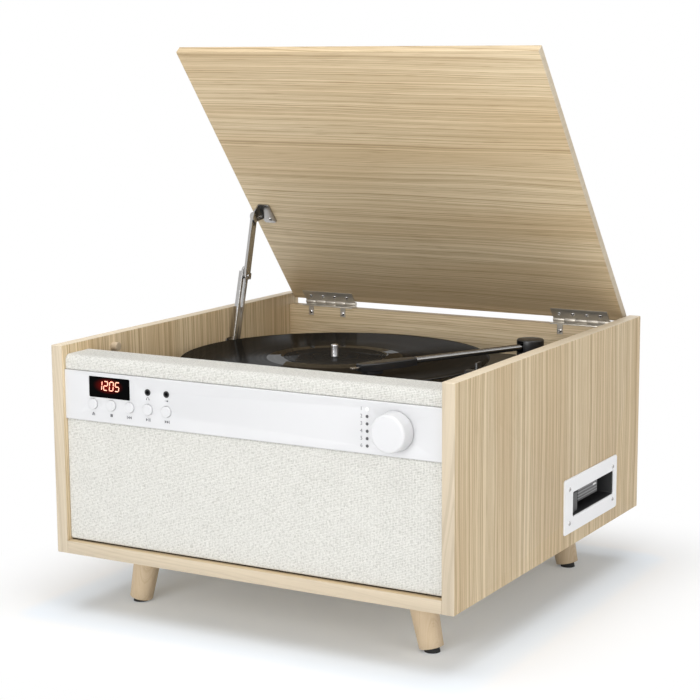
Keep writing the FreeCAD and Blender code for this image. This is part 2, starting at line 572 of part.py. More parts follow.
def platter():
    """Bearing, platter with its spindle and drive ring, mat and record with its label, all on one axis."""
    axis = ("spindle", "spindle_mid", "deck")
    bearing = [("spindle_radius + shaft_clear", "bearing_top"), ("bearing_flange", "bearing_top"),
               ("bearing_flange", "0"), ("bearing_radius", "0"),
               ("bearing_radius", "bearing_low"), ("0", "bearing_low"),
               ("0", "bearing_low + bearing_floor"),
               ("spindle_radius + shaft_clear", "bearing_low + bearing_floor")]
    node("platter_bearing", place(revolved("platter_bearing", bearing), *axis))
    tip = "platter_high + mat_thick + record_thick + spindle_rise"
    shaft_end = "bearing_low + bearing_floor + bearing_gap"
    under = "platter_high - platter_plate"
    dish = [("0", tip), ("spindle_radius", tip), ("spindle_radius", "platter_high"),
            ("platter_radius - platter_ease", "platter_high"),
            ("platter_radius", "platter_high - platter_ease"),
            ("platter_radius", "platter_low"),
            ("platter_radius - platter_wall", "platter_low"), ("platter_radius - platter_wall", under),
            ("drive_radius", under), ("drive_radius", "drive_low"),
            ("drive_radius - drive_wall", "drive_low"),
            ("drive_radius - drive_wall", under), ("platter_hub", under),
            ("platter_hub", "bearing_top + bearing_gap"), ("spindle_radius", "bearing_top + bearing_gap"),
            ("spindle_radius", shaft_end), ("0", shaft_end)]
    node("platter", place(round_top(revolved("platter", dish), "spindle_round", tip), *axis))
    mat = [("hole_radius", "platter_high"), ("mat_radius", "platter_high"),
           ("mat_radius", "platter_high + mat_thick"), ("hole_radius", "platter_high + mat_thick")]
    node("slip_mat", place(revolved("slip_mat", mat), *axis))
    low = "platter_high + mat_thick"
    face = f"{low} + record_thick"
    disc = [("hole_radius", low), ("record_radius - record_bead", low),
            ("record_radius", f"{low} + (record_thick - record_edge) / 2"),
            ("record_radius", f"{low} + (record_thick + record_edge) / 2"),
            ("record_radius - record_bead", face), ("record_radius - 2 * record_bead",
                                                    f"{face} - record_relief"),
            ("label_land + record_bead", f"{face} - record_relief"), ("label_land", face),
            ("label_radius", face),
            ("label_radius", f"{face} + label_thick"), ("hole_radius", f"{face} + label_thick")]
    node("record", place(revolved("record", disc), *axis))


def belt_loop(large, small, gap):
    """The outline of a belt round two wheels, the large one at the origin and the small one along +X."""
    lean = math.acos((large - small) / gap)
    def spot(radius, x, angle):
        return FreeCAD.Vector(x + radius * math.cos(angle), radius * math.sin(angle), 0)
    ends = [spot(large, 0, lean), spot(large, 0, -lean), spot(small, gap, -lean), spot(small, gap, lean)]
    edges = [Part.Arc(ends[0], spot(large, 0, math.pi), ends[1]).toShape(),
             Part.LineSegment(ends[1], ends[2]).toShape(),
             Part.Arc(ends[2], spot(small, gap, 0), ends[3]).toShape(),
             Part.LineSegment(ends[3], ends[0]).toShape()]
    return Part.Wire(edges)


def drive():
    """Motor under the deck, its pulley, and the flat belt to the platter's drive ring."""
    spot = ("spindle + pulley_dx", "spindle_mid + pulley_dy", "deck")
    under = "-deck_thick"
    motor = [("pulley_shaft + shaft_clear", "0"), ("motor_boss", "0"), ("motor_boss", under),
             ("motor_radius", under), ("motor_radius", f"{under} - motor_high"),
             ("0", f"{under} - motor_high"),
             ("0", f"{under} - motor_bore"), ("pulley_shaft + shaft_clear", f"{under} - motor_bore")]
    node("motor", place(revolved("motor", motor), *spot))
    pulley = [("0", "pulley_high"), ("pulley_radius + pulley_lip", "pulley_high"),
              ("pulley_radius + pulley_lip", "pulley_high - pulley_lip_high"),
              ("pulley_radius", "pulley_high - pulley_lip_high"),
              ("pulley_radius", "pulley_low + pulley_lip_high"),
              ("pulley_radius + pulley_lip", "pulley_low + pulley_lip_high"),
              ("pulley_radius + pulley_lip", "pulley_low"), ("pulley_shaft", "pulley_low"),
              ("pulley_shaft", f"{under} - motor_shaft"), ("0", f"{under} - motor_shaft")]
    node("motor_pulley", place(revolved("motor_pulley", pulley), *spot))
    large = number("drive_radius + belt_clear")
    small = number("pulley_radius + belt_clear")
    gap = math.hypot(number("pulley_dx"), number("pulley_dy"))
    thick = number("belt_thick")
    ring = Part.Face([belt_loop(large + thick, small + thick, gap), belt_loop(large, small, gap)])
    ring.validate()
    belt = doc.addObject("Part::Feature", "drive_belt")
    belt.Shape = ring.extrude(FreeCAD.Vector(0, 0, number("belt_high - belt_low")))
    heading = math.degrees(math.atan2(number("pulley_dy"), number("pulley_dx")))
    belt.Placement = FreeCAD.Placement(
        FreeCAD.Vector(number("spindle"), number("spindle_mid"), number("deck + belt_low")),
        FreeCAD.Rotation(FreeCAD.Vector(0, 0, 1), heading))
    node("drive_belt", belt)


def on_arm(body):
    """Set a piece drawn along -Y from the arm's pivot at its angle over the record."""
    return place(body, "arm", "arm_mid", "deck", (0, 0, 1), "-arm_angle")


def tonearm():
    column = [("gimbal_stem + shaft_clear", "arm_base_top"), ("arm_base_neck", "arm_base_top"),
              ("arm_base_neck", "arm_base_step"), ("arm_base_radius", "arm_base_rim"),
              ("arm_base_radius", "0"),
              ("arm_base_neck", "0"), ("arm_base_neck", "-deck_thick"),
              ("gimbal_stem + shaft_clear", "-deck_thick")]
    node("tonearm_base", place(revolved("tonearm_base", column), "arm", "arm_mid", "deck"))
    housing = [("0", "gimbal_high"), ("gimbal_radius - gimbal_ease", "gimbal_high"),
               ("gimbal_radius", "gimbal_high - gimbal_ease"), ("gimbal_radius", "gimbal_low"),
               ("gimbal_stem", "gimbal_low"), ("gimbal_stem", "0"), ("0", "0")]
    gimbal = revolved("tonearm_gimbal", housing)
    cut(gimbal, "XZ_Plane", "-gimbal_radius", "gimbal_radius",
        [box_loop("-gimbal_slot / 2", "arm_z - gimbal_slot_half", "gimbal_slot / 2",
                  "arm_z + gimbal_slot_half")])
    cut(gimbal, "YZ_Plane", "-gimbal_radius", "gimbal_radius",
        [("circle", "0", "arm_z", "trunnion + shaft_clear")])
    node("tonearm_gimbal", on_arm(gimbal))
    block = padded("tonearm_tube", "XZ_Plane", "-block_long", "block_long",
                   [("round", "0", "arm_z", "2 * block_half", "2 * block_high", "block_round")])
    add(block, "YZ_Plane", "-trunnion_end", "trunnion_end", [("circle", "0", "arm_z", "trunnion")])
    add(block, "XZ_Plane", "-tube_end", "-block_long", [("circle", "0", "arm_z", "tube_radius")])
    node("tonearm_tube", on_arm(block))
    outline = [("shell_tail", "-tube_end"), ("shell_half", "-shell_shoulder"),
               ("shell_half", "-shell_taper"),
               ("shell_nose", "-shell_end")]
    mirrored = [(f"-{x}", y) for x, y in reversed(outline)]
    shell = padded("headshell", "XY_Plane", "shell_low", "shell_high", [("polygon", outline + mirrored)])
    node("headshell", on_arm(soften(shell, "shell_round", lambda edge: at(edge, "Z", "shell_high"))))
    cartridge = padded("cartridge", "XY_Plane", "cart_low", "shell_low",
                       [box_loop("-cart_half", "-cart_front", "cart_half", "-cart_back")])
    soften(cartridge, "cart_round", lambda edge: at(edge, "Z", "cart_low"))
    add(cartridge, "XY_Plane", "stylus_tip", "cart_low",
        [("circle", "0", "-stylus_reach", "stylus_radius")])
    node("cartridge", on_arm(cartridge))
    lift = padded("finger_lift", "XY_Plane", "lift_low", "lift_high",
                  [("round", "0", "-shell_end - lift_long / 2", "2 * lift_half", "lift_long",
                    "lift_round")])
    node("finger_lift", on_arm(lift))
    saddle = [("arm - rest_half", "deck"), ("arm + rest_half", "deck"),
              ("arm + rest_half", "deck + rest_top"),
              ("arm + rest_half - rest_prong", "deck + rest_top"),
              ("arm + rest_half - rest_prong", "deck + rest_saddle"),
              ("arm - rest_half", "deck + rest_saddle")]
    rest = padded("arm_rest", "XZ_Plane", "rest_mid - rest_thick / 2", "rest_mid + rest_thick / 2",
                  [("polygon", saddle)])
    add(rest, "XY_Plane", "deck", "deck + rest_lip",
        [("round", "arm", "rest_mid", "2 * rest_foot", "2 * rest_foot", "rest_lip")])
    node("arm_rest", rest)
    dial = padded("speed_lever", "XY_Plane", "lever_gap", "speed_high",
                  [("circle", "0", "0", "speed_radius")])
    add(dial, "XY_Plane", "speed_high / 2", "speed_high",
        [("round", "0", "-speed_bar / 2", "2 * speed_half", "speed_bar", "2 * speed_half * end_share")])
    add(dial, "XY_Plane", "-stem_long", "lever_gap", [("circle", "0", "0", "speed_stem")])
    node("speed_lever", place(dial, "inner - speed_x", "rear - speed_y", "deck"))


def tape_slot():
    """Bezel on the right side, the well with its sleeve through the side, hubs, flap and eject button."""
    mouth = ("round", "slot_mid", "tape_height", "slot_wide", "slot_high", "slot_round")
    sleeve = ("round", "slot_mid", "tape_height", "slot_wide + 2 * sleeve_wall",
              "slot_high + 2 * sleeve_wall",
              "slot_round + sleeve_wall")
    plate = ("round", "tape_mid", "tape_height", "tape_wide", "tape_high", "tape_round")
    bezel = padded("tape_bezel", "YZ_Plane", "right", "right + tape_proud", [plate, mouth])
    node("tape_bezel", soften(bezel, "strip_round", lambda edge: at(edge, "X", "right + tape_proud")))
    for index, (sy, sz) in enumerate(((-1, -1), (-1, 1), (1, -1), (1, 1))):
        head = screw_head(f"tape_screw_{index}", "tape_screw")
        cabinet_screws.append(place(head, "right + tape_proud", f"tape_mid + {sy} * tape_screw_y",
                                    f"tape_height + {sz} * tape_screw_z", (0, 1, 0), "90"))
    shell = ("round", "slot_mid", "tape_height", "slot_wide + 2 * well_wall", "slot_high + 2 * well_wall",
             "slot_round + well_wall")
    well = padded("tape_well", "YZ_Plane", "inner - well_deep", "inner", [shell])
    add(well, "YZ_Plane", "inner", "right", [sleeve])
    cut(well, "YZ_Plane", "inner - well_deep + well_wall", "right", [mouth])
    hubs = {"outer_reel_hub": "inner - hub_back", "inner_reel_hub": "inner - hub_back - hub_gap"}
    cut(well, "XY_Plane", "slot_floor - well_wall", "slot_floor",
        [("circle", x, "slot_edge + hub_y", "reel_stem + shaft_clear") for x in hubs.values()])
    node("tape_well", well)
    for name, x in hubs.items():
        hub = revolved(name, [("0", "reel_high"), ("reel_tip", "reel_high"),
                              ("reel_radius", "reel_shoulder"),
                              ("reel_radius", "lever_gap"), ("reel_stem", "lever_gap"),
                              ("reel_stem", "-well_wall"),
                              ("0", "-well_wall")])
        node(name, place(hub, x, "slot_edge + hub_y", "slot_floor"))
    span = "slot_wide / 2 - flap_side_gap"
    flap = padded("tape_flap", "YZ_Plane", "-flap_thick / 2", "flap_thick / 2",
                  [box_loop("flap_y - slot_wide / 2", "-flap_high", "flap_y + flap_wide - slot_wide / 2",
                            "0")])
    add(flap, "XZ_Plane", f"-({span})", span, [("circle", "0", "0", "rod_radius")])
    node("tape_flap", place(flap, "right - flap_in", "slot_mid",
                            "tape_height + slot_high / 2 - rod_radius - lever_gap"))
    eject = padded("eject_button", "YZ_Plane", "right - eject_in - eject_deep", "right - eject_in",
                   [("round", "slot_edge + eject_y", "slot_floor + lever_gap + eject_high / 2",
                     "eject_wide",
                     "eject_high", "eject_round")])
    node("eject_button", soften(eject, "eject_ease", lambda edge: at(edge, "X", "right - eject_in")))


def disc_drive():
    """Bezel on the left side, the drive's tin, the tray that slides out, and the chuck under the disc."""
    mouth = ("round", "disc_mid", "disc_height", "disc_slot_wide", "disc_slot_high", "slot_round")
    sleeve = ("round", "disc_mid", "disc_height", "disc_slot_wide + 2 * sleeve_wall",
              "disc_slot_high + 2 * sleeve_wall", "slot_round + sleeve_wall")
    plate = ("round", "disc_mid", "disc_height", "disc_wide", "disc_high", "tape_round")
    bezel = padded("disc_bezel", "YZ_Plane", "left - tape_proud", "left", [plate, mouth])
    soften(bezel, "strip_round", lambda edge: at(edge, "X", "left - tape_proud"))
    node("disc_bezel", add(bezel, "YZ_Plane", "left", "-inner", [sleeve, mouth]))
    tin_low = "tray_low - tray_rail"
    tin = padded("disc_drive", "XY_Plane", tin_low, f"{tin_low} + drive_deep",
                 [box_loop("-inner", "disc_mid - drive_half", "-inner + drive_long",
                           "disc_mid + drive_half")])
    cut(tin, "YZ_Plane", "-inner", "-inner + drive_long - drive_tin",
        [box_loop("disc_mid - drive_half + drive_tin", f"{tin_low} + drive_tin",
                  "disc_mid + drive_half - drive_tin", f"{tin_low} + drive_deep - drive_tin")])
    rails = [box_loop(f"disc_mid + {side} * (drive_half - drive_tin)", f"{tin_low} + drive_tin",
                      f"disc_mid + {side} * (drive_half - drive_tin - tray_rail)",
                      "tray_low - tray_gap / 2")
             for side in (-1, 1)]
    add(tin, "YZ_Plane", "-inner", "-inner + drive_long - drive_tin", rails)
    centre = "left + disc_centre"
    cut(tin, "XY_Plane", tin_low, f"{tin_low} + drive_tin",
        [("circle", centre, "disc_mid", "chuck_stem + shaft_clear")])
    node("disc_drive", tin)
    half = "disc_slot_wide / 2 - tray_gap"
    tray = padded("disc_tray", "YZ_Plane", "left - tape_proud - tray_proud", "left + tray_front",
                  [("round", "disc_mid", "disc_height", f"2 * ({half})", "disc_slot_high - 2 * tray_gap",
                    "slot_round / 2")])
    add(tray, "XY_Plane", "tray_low", "tray_low + tray_thick",
        [box_loop("left + tray_front", f"disc_mid - ({half}) + tray_narrow", "left + tray_long",
                  f"disc_mid + ({half}) - tray_narrow")])
    cut(tray, "XY_Plane", "tray_low + tray_thick - tray_recess", "tray_low + tray_thick",
        [("circle", centre, "disc_mid", "disc_radius")])
    cut(tray, "XY_Plane", "tray_low", "tray_low + tray_thick",
        [box_loop(f"{centre} - pickup_half", "disc_mid - pickup_half", "left + tray_long",
                  "disc_mid + pickup_half")])
    node("disc_tray", tray)
    chuck = revolved("disc_chuck", [("0", "tray_rail + chuck_high"),
                                    ("chuck_tip", "tray_rail + chuck_high"),
                                    ("chuck_radius", "tray_rail"),
                                    ("chuck_radius", "drive_tin + lever_gap"),
                                    ("chuck_stem", "drive_tin + lever_gap"), ("chuck_stem", "0"),
                                    ("0", "0")])
    node("disc_chuck", place(chuck, centre, "disc_mid", tin_low))


def knuckle_spans(own):
    """The lengths of a hinge's barrel that belong to one leaf."""
    step = f"hinge_long / {KNUCKLES}"
    return [(f"-hinge_long / 2 + {index} * ({step}) + knuckle_gap / 2",
             f"-hinge_long / 2 + {index + 1} * ({step}) - knuckle_gap / 2") for index in own]


def back_leaf(name):
    """A fixed leaf over the back panel's top edge: plate, tongues to the knuckles, pin and two straps."""
    seat, face = "back_height - pin_height", "-pin_back - strap_thick"
    leaf = padded(name, "XY_Plane", seat, f"{seat} + strap_thick",
                  [box_loop("-hinge_long / 2", face, "hinge_long / 2", "knuckle")])
    for low, high in knuckle_spans((0, 2, 4)):
        add(leaf, "YZ_Plane", low, high, [box_loop("-pin_radius", seat, "pin_radius", "0")])
        add(leaf, "YZ_Plane", low, high, [("circle", "0", "0", "knuckle")])
    add(leaf, "YZ_Plane", "-hinge_long / 2", "hinge_long / 2", [("circle", "0", "0", "pin_radius")])
    straps = [box_loop(f"{spot} * strap_x - strap_half", f"{seat} - strap_long",
                       f"{spot} * strap_x + strap_half", seat) for spot in (-1, 1)]
    return add(leaf, "XZ_Plane", face, "-pin_back", straps)


def lid_leaf(name):
    """A leaf on the lid, drawn about its pin: a plate with tongues to its own knuckles."""
    points = [("-hinge_long / 2", "-leaf_deep"), ("hinge_long / 2", "-leaf_deep"),
              ("hinge_long / 2", "-leaf_notch")]
    spans = knuckle_spans((1, 3))
    for low, high in reversed(spans):
        points += [(high, "-leaf_notch"), (high, "-pin_radius - leaf_front"),
                   (low, "-pin_radius - leaf_front"),
                   (low, "-leaf_notch")]
    points.append(("-hinge_long / 2", "-leaf_notch"))
    leaf = padded(name, "XY_Plane", "-leaf_front", "leaf_back", [("polygon", points)])
    for low, high in spans:
        add(leaf, "YZ_Plane", low, high, [("circle", "0", "0", "knuckle")])
    return cut(leaf, "YZ_Plane", "-hinge_long / 2", "hinge_long / 2",
               [("circle", "0", "0", "pin_radius + pin_clear")])


def hinges():
    fixed, lids = [], []
    for index, side in enumerate((-1, 1)):
        x = f"{side} * (inner - hinge_x)"
        fixed.append(place(back_leaf(f"back_leaf_{index}"), x, "pin_y", "pin_z"))
        lids.append(on_lid(lid_leaf(f"lid_leaf_{index}"), x))
        for spot in (-1, 1):
            screw = screw_head(f"back_screw_{index}_{spot + 1}", "hinge_screw")
            cabinet_screws.append(facing_front(screw, f"{x} + {spot} * strap_x",
                                               "back_face - strap_thick",
                                               "base + back_height - strap_screw"))
        for spot in range(LID_SCREWS):
            away = f"({spot} - {LID_SCREWS - 1} / 2) * hinge_screw_pitch"
            screw = padded(f"lid_screw_{index}_{spot}", "XY_Plane", "-leaf_front - screw_dome",
                           "-leaf_front",
                           [("circle", away, "-hinge_screw_deep", "hinge_screw")])
            lid_screws.append(on_lid(screw, x))
    group("hinge_back_leaves", fixed)
    group("hinge_lid_leaves", lids)


def on_lid(body, x="0"):
    """Set a piece drawn about the hinge pin, lid shut, at the lid's open angle."""
    return place(body, x, "pin_y", "pin_z", (1, 0, 0), "-lid_open")


def lid():
    board = padded("lid_panel", "XY_Plane", "leaf_back", "leaf_back + lid_thick",
                   [box_loop("-inner + lid_gap", "-(lid_front)", "inner - lid_gap", "-lid_rear")])
    node("lid_panel", on_lid(soften(board, "lid_ease",
                                    lambda edge: at(edge, "Z", "leaf_back + lid_thick"))))


def lid_stay():
    """Bracket on the lid, upper arm, slotted lower arm and wall plate, side by side along the left wall."""
    pivot = ("circle", "-stay_reach", "-stay_drop")
    under = "leaf_back - plate_thick"
    foot = padded("stay_bracket", "XY_Plane", under, "leaf_back",
                  [("round", "tab_face + bracket_wide / 2", "-stay_reach + bracket_shift", "bracket_wide",
                    "2 * bracket_half", "plate_round")])
    add(foot, "YZ_Plane", "tab_face", "tab_face + plate_thick",
        [("polygon", [("-stay_reach - tab_half", "leaf_back"), ("-stay_reach - tab_half", "-stay_drop"),
                      ("-stay_reach - tab_half / 2", "-stay_drop - tab_half"),
                      ("-stay_reach + tab_half / 2", "-stay_drop - tab_half"),
                      ("-stay_reach + tab_half", "-stay_drop"),
                      ("-stay_reach + bracket_half", "leaf_back")])])
    add(foot, "YZ_Plane", "upper_face - stay_gap", "tab_face", [(*pivot, "rivet")])
    add(foot, "YZ_Plane", "upper_face - stay_gap - rivet_dome", "upper_face - stay_gap",
        [(*pivot, "rivet_head")])
    node("stay_bracket", on_lid(foot))
    screw = padded("bracket_screw", "XY_Plane", f"{under} - screw_dome", under,
                   [("circle", "tab_face + (bracket_wide + plate_thick) / 2",
                     "-stay_reach + bracket_half",
                     "hinge_screw")])
    lid_screws.append(on_lid(screw))
    upper = padded("stay_upper_arm", "YZ_Plane", "0", "upper_thick",
                   [("round", "0", "-upper_long / 2", "2 * upper_half", "upper_long + 2 * upper_half",
                     "2 * upper_half * end_share"), ("circle", "0", "0", "rivet + shaft_clear")])
    add(upper, "YZ_Plane", "upper_thick", "upper_thick + collar_proud",
        [("round", "0", "-upper_long", "2 * collar_half", "collar_high", "collar_round")])
    add(upper, "YZ_Plane", "upper_thick + collar_proud", "upper_thick + collar_proud + rivet_dome",
        [("circle", "0", "-upper_long", "rivet")])
    node("stay_upper_arm", place(upper, "upper_face", "stay_lid_y", "stay_lid_z", (1, 0, 0),
                                 "upper_lean"))
    lower = padded("stay_lower_arm", "YZ_Plane", "0", "arm_thick",
                   [("round", "0", "lower_long / 2", "2 * lower_half", "lower_long + 2 * lower_half",
                     "2 * lower_half * end_share"),
                    ("round", "0", "(slide_from + lower_long) / 2", "2 * slide_half",
                     "lower_long - slide_from",
                     "2 * slide_half * end_share"), ("circle", "0", "0", "rivet + shaft_clear")])
    add(lower, "YZ_Plane", "-channel_deep", "0",
        [box_loop(f"{side} * (lower_half - channel_wall)", "slide_from", f"{side} * lower_half",
                  "lower_long") for side in (-1, 1)])
    node("stay_lower_arm", place(lower, "lower_face", "stay_pivot_y", "stay_pivot_z", (1, 0, 0),
                                 "-lower_lean"))
    hub = ("circle", "stay_pivot_y", "stay_pivot_z")
    plate = padded("stay_wall_plate", "YZ_Plane", "-inner", "plate_face",
                   [("round", "stay_pivot_y", "stay_pivot_z + tab_half / 2", "2 * plate_half",
                     "2 * plate_half - tab_half", "plate_round")])
    add(plate, "YZ_Plane", "plate_face", "lower_face - stay_gap", [(*hub, "rivet_head")])
    add(plate, "YZ_Plane", "lower_face - stay_gap", "upper_face", [(*hub, "rivet")])
    node("stay_wall_plate", add(plate, "YZ_Plane", "upper_face - stay_gap / 2", "upper_face + rivet_dome",
                                [(*hub, "rivet_head")]))


def back_connections():
    outer = "back_face + back_thick"
    jack = [("rear_bore", "rear_jack_rise"), ("rear_jack_radius", "rear_jack_rise"),
            ("rear_jack_radius", "flange_thick"), ("rear_jack_flange", "flange_thick"),
            ("rear_jack_flange", "0"),
            ("rear_jack_radius", "0"), ("rear_jack_radius", "-back_thick - rear_jack_in"),
            ("0", "-back_thick - rear_jack_in"), ("0", "0"), ("rear_bore", "0")]
    sockets = [place(revolved(f"line_out_{index}", jack), f"rear_jack_x + {index} * rear_jack_pitch",
                     outer, "base + rear_jack_z", (1, 0, 0), "-90") for index in range(2)]
    inlet = [("inlet_bore", "inlet_rise"), ("inlet_flange", "inlet_rise"), ("inlet_flange", "0"),
             ("inlet_radius", "0"), ("inlet_radius", "-back_thick - rear_jack_in"),
             ("0", "-back_thick - rear_jack_in"), ("0", "-back_thick"), ("inlet_bore", "-back_thick")]
    sockets.append(place(revolved("power_inlet", inlet), "inlet_x", outer, "base + rear_jack_z",
                         (1, 0, 0), "-90"))
    group("back_sockets", sockets)


def main_board():
    low, y = "inside + pcb_lift", "rear - pcb_y"
    board = padded("main_board", "XY_Plane", low, f"{low} + board_thick",
                   [box_loop("pcb_x - pcb_wide / 2", f"{y} - pcb_deep / 2", "pcb_x + pcb_wide / 2",
                             f"{y} + pcb_deep / 2")])
    add(board, "XY_Plane", f"{low} + board_thick", f"{low} + board_thick + sink_high",
        [box_loop("pcb_x - sink_wide / 2", f"{y} + sink_y", "pcb_x + sink_wide / 2",
                  f"{y} + sink_y + sink_thick")])
    add(board, "XY_Plane", f"{low} + board_thick", f"{low} + board_thick + can_high",
        [("circle", f"pcb_x + {side} * can_pitch", f"{y} + can_y", "can_radius") for side in (-1, 0, 1)])
    posts = [("circle", f"pcb_x + {sx} * (pcb_wide / 2 - post_inset)",
              f"{y} + {sy} * (pcb_deep / 2 - post_inset)",
              "post_radius") for sx in (-1, 1) for sy in (-1, 1)]
    boards.append(add(board, "XY_Plane", "inside", low, posts))


def shared_nodes():
    """Like pieces from several places, each kind as one node."""
    group("cabinet_screws", cabinet_screws)
    group("lid_screws", lid_screws)
    group("circuit_boards", boards)


def write_parts():
    """Check every object and every sub-part, then write one file for each node."""
    doc.recompute()
    failed = [item.Name for item in doc.Objects if {"Invalid", "Error"} & set(item.State)]
    if failed:
        raise RuntimeError(f"failed objects: {failed}")
    os.makedirs("parts", exist_ok=True)
    for label, thing in nodes.items():
        shape = thing.Shape
        if shape.isNull() or not shape.isValid() or not shape.Solids:
            raise RuntimeError(f"bad shape: {label}")
        shape.exportStep(f"parts/{label}.step")
    print(f"{len(nodes)} nodes written")


for build in (side_panels, floor_and_back, legs, cloth_front, speakers, control_strip, display,
              control_board,
              buttons, jacks_and_lamps, knob, deck, platter, drive, tonearm, tape_slot, disc_drive,
              hinges, lid,
              lid_stay, back_connections, main_board, shared_nodes):
    build()
write_parts()
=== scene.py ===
"""Looks of a cabinet record player: finishes for its solids, cloth, marks, screws and a plain stage."""
import json
import math

import bmesh
import bpy
from bpy.props import FloatProperty, FloatVectorProperty, PointerProperty
from mathutils import Euler, Matrix, Quaternion, Vector


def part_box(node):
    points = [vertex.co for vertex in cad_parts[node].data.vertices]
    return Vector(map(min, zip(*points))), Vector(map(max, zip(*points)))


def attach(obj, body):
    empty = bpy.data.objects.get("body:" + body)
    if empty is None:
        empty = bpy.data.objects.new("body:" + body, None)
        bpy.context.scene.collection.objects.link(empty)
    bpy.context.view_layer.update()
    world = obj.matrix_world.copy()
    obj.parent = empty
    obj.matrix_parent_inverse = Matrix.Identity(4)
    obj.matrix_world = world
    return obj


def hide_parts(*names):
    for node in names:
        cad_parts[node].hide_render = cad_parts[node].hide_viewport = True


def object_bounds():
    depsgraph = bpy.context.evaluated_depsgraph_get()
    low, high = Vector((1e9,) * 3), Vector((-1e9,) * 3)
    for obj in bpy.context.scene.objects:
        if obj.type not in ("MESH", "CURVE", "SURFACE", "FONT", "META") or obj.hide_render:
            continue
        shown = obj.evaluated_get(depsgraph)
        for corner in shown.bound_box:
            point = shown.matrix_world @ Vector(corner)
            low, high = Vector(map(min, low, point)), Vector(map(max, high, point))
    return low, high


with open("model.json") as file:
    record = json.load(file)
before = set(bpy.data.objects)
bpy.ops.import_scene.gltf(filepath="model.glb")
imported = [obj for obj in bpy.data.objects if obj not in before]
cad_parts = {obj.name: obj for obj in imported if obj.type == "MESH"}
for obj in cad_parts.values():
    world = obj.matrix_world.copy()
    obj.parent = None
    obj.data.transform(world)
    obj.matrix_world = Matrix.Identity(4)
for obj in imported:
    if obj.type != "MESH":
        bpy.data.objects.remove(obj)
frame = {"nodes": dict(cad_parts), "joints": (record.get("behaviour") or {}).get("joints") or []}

bl_info = {
    "name": "Cabinet record player",
    "version": (1, 0, 0),
    "blender": (4, 5, 0),
    "location": "View3D > Sidebar > Player",
    "description": "Dresses the solids of a cabinet record player and sets it on a plain stage",
    "category": "Object",
}

MM = 0.001
NODES = frame["nodes"]
CAD_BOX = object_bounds()
JOINTS = {joint["name"]: joint for joint in frame["joints"]}
LID_PIN = Vector(JOINTS["lid_hinge"]["pos_m"])
LID_ANGLE = math.radians(-JOINTS["lid_hinge"]["range_deg"][0])
SPINDLE = Vector(JOINTS["platter_spin"]["pos_m"])
SPEED_PIVOT = Vector(JOINTS["speed_select"]["pos_m"])
BUTTONS = ("tray", "stop", "back", "play", "skip")

# Turns of marks that face a side of the cabinet, and of grain that runs up or across the back
FACING_FRONT = Matrix.Rotation(math.pi / 2, 4, "X")
FACING_RIGHT = Matrix.Rotation(math.pi / 2, 4, "Y") @ Matrix.Rotation(math.pi / 2, 4, "Z")
LEVEL = (0, 0, 0)
UPRIGHT = (0, math.pi / 2, 0)
ON_EDGE = (-math.pi / 2, 0, 0)

# Height of printed marks
INK = 0.06 * MM

# How far apart corners are joined, and from which angle edges are softened or split
WELD, SOFTEN_FROM, SPLIT_FROM = 1e-6, math.radians(40), math.radians(32)

# Fineness of each part of the wood's figure, along the grain and across it, per metre
WAVES, RIPPLES, PATCHES = (2.4, 10, 10), (9, 70, 70), (1.5, 15, 15)
FIBRES, PORES = (16, 520, 520), (26, 640, 640)
LINES_PER_BAND, LINES_START = 5.0, 40

# Share of the dark tone that each part of the figure brings
GROUND_DARK, BAND_DARK, LINE_DARK = 0.22, 1.5, 0.46
FIBRE_DARK, PATCH_DARK, PORE_DARK = 0.6, 0.3, 0.25
EDGE_COVER = 0.7


class StageLook(bpy.types.PropertyGroup):
    """Camera, sky and floor."""
    eye: FloatVectorProperty(name="Eye", description="Where the camera stands", subtype="TRANSLATION",
                             unit="LENGTH", default=(0.8567, -1.51215, 0.5248))
    heading: FloatProperty(name="Heading", description="How far round to the right the camera stands",
                           subtype="ANGLE", default=math.radians(29.725))
    height: FloatProperty(name="Height", description="How far above the horizon the camera stands",
                          subtype="ANGLE", default=math.radians(9.5))
    roll: FloatProperty(name="Roll", description="Turn about the line of sight", subtype="ANGLE",
                        default=math.radians(-0.346))
    lens: FloatProperty(name="Lens", description="Focal length in millimetres on a 36 mm sensor",
                        default=93.94)
    sky: FloatProperty(name="Sky", description="Light from all round", default=0.29)
    floor: FloatVectorProperty(name="Floor", description="Colour of the floor", subtype="COLOR",
                               default=(0.93, 0.935, 0.94))
    # Shade is a bluish tint painted on the floor beneath and near the object, which cools the colour of its
    # shadow
    shade: FloatVectorProperty(name="Shade", description="Colour of the floor beneath", subtype="COLOR",
                               default=(0.87, 0.925, 0.985))


class WoodLook(bpy.types.PropertyGroup):
    """Veneer and leg timber."""
    light: FloatVectorProperty(name="Early wood", description="Pale bands of the veneer", subtype="COLOR",
                               default=(0.73, 0.60, 0.405))
    dark: FloatVectorProperty(name="Late wood", description="Dark lines of the veneer", subtype="COLOR",
                              default=(0.36, 0.255, 0.13))
    leg: FloatVectorProperty(name="Leg", description="Pale bands of the legs", subtype="COLOR",
                             default=(0.585, 0.465, 0.32))
    leg_dark: FloatVectorProperty(name="Leg lines", description="Dark lines of the legs", subtype="COLOR",
                                  default=(0.46, 0.335, 0.205))
    rose: FloatVectorProperty(name="Rose", description="Warm patches of the veneer", subtype="COLOR",
                              default=(0.66, 0.515, 0.325))
    edge: FloatVectorProperty(name="Edge", description="Pale strips on the cut edges", subtype="COLOR",
                              default=(0.505, 0.445, 0.355))
    ring: FloatProperty(name="Ring", description="Mean width of a band of the veneer's grain",
                        unit="LENGTH", default=0.0055)
    leg_ring: FloatProperty(name="Leg ring", description="Mean width of a band of the legs' grain",
                            unit="LENGTH", default=0.004)


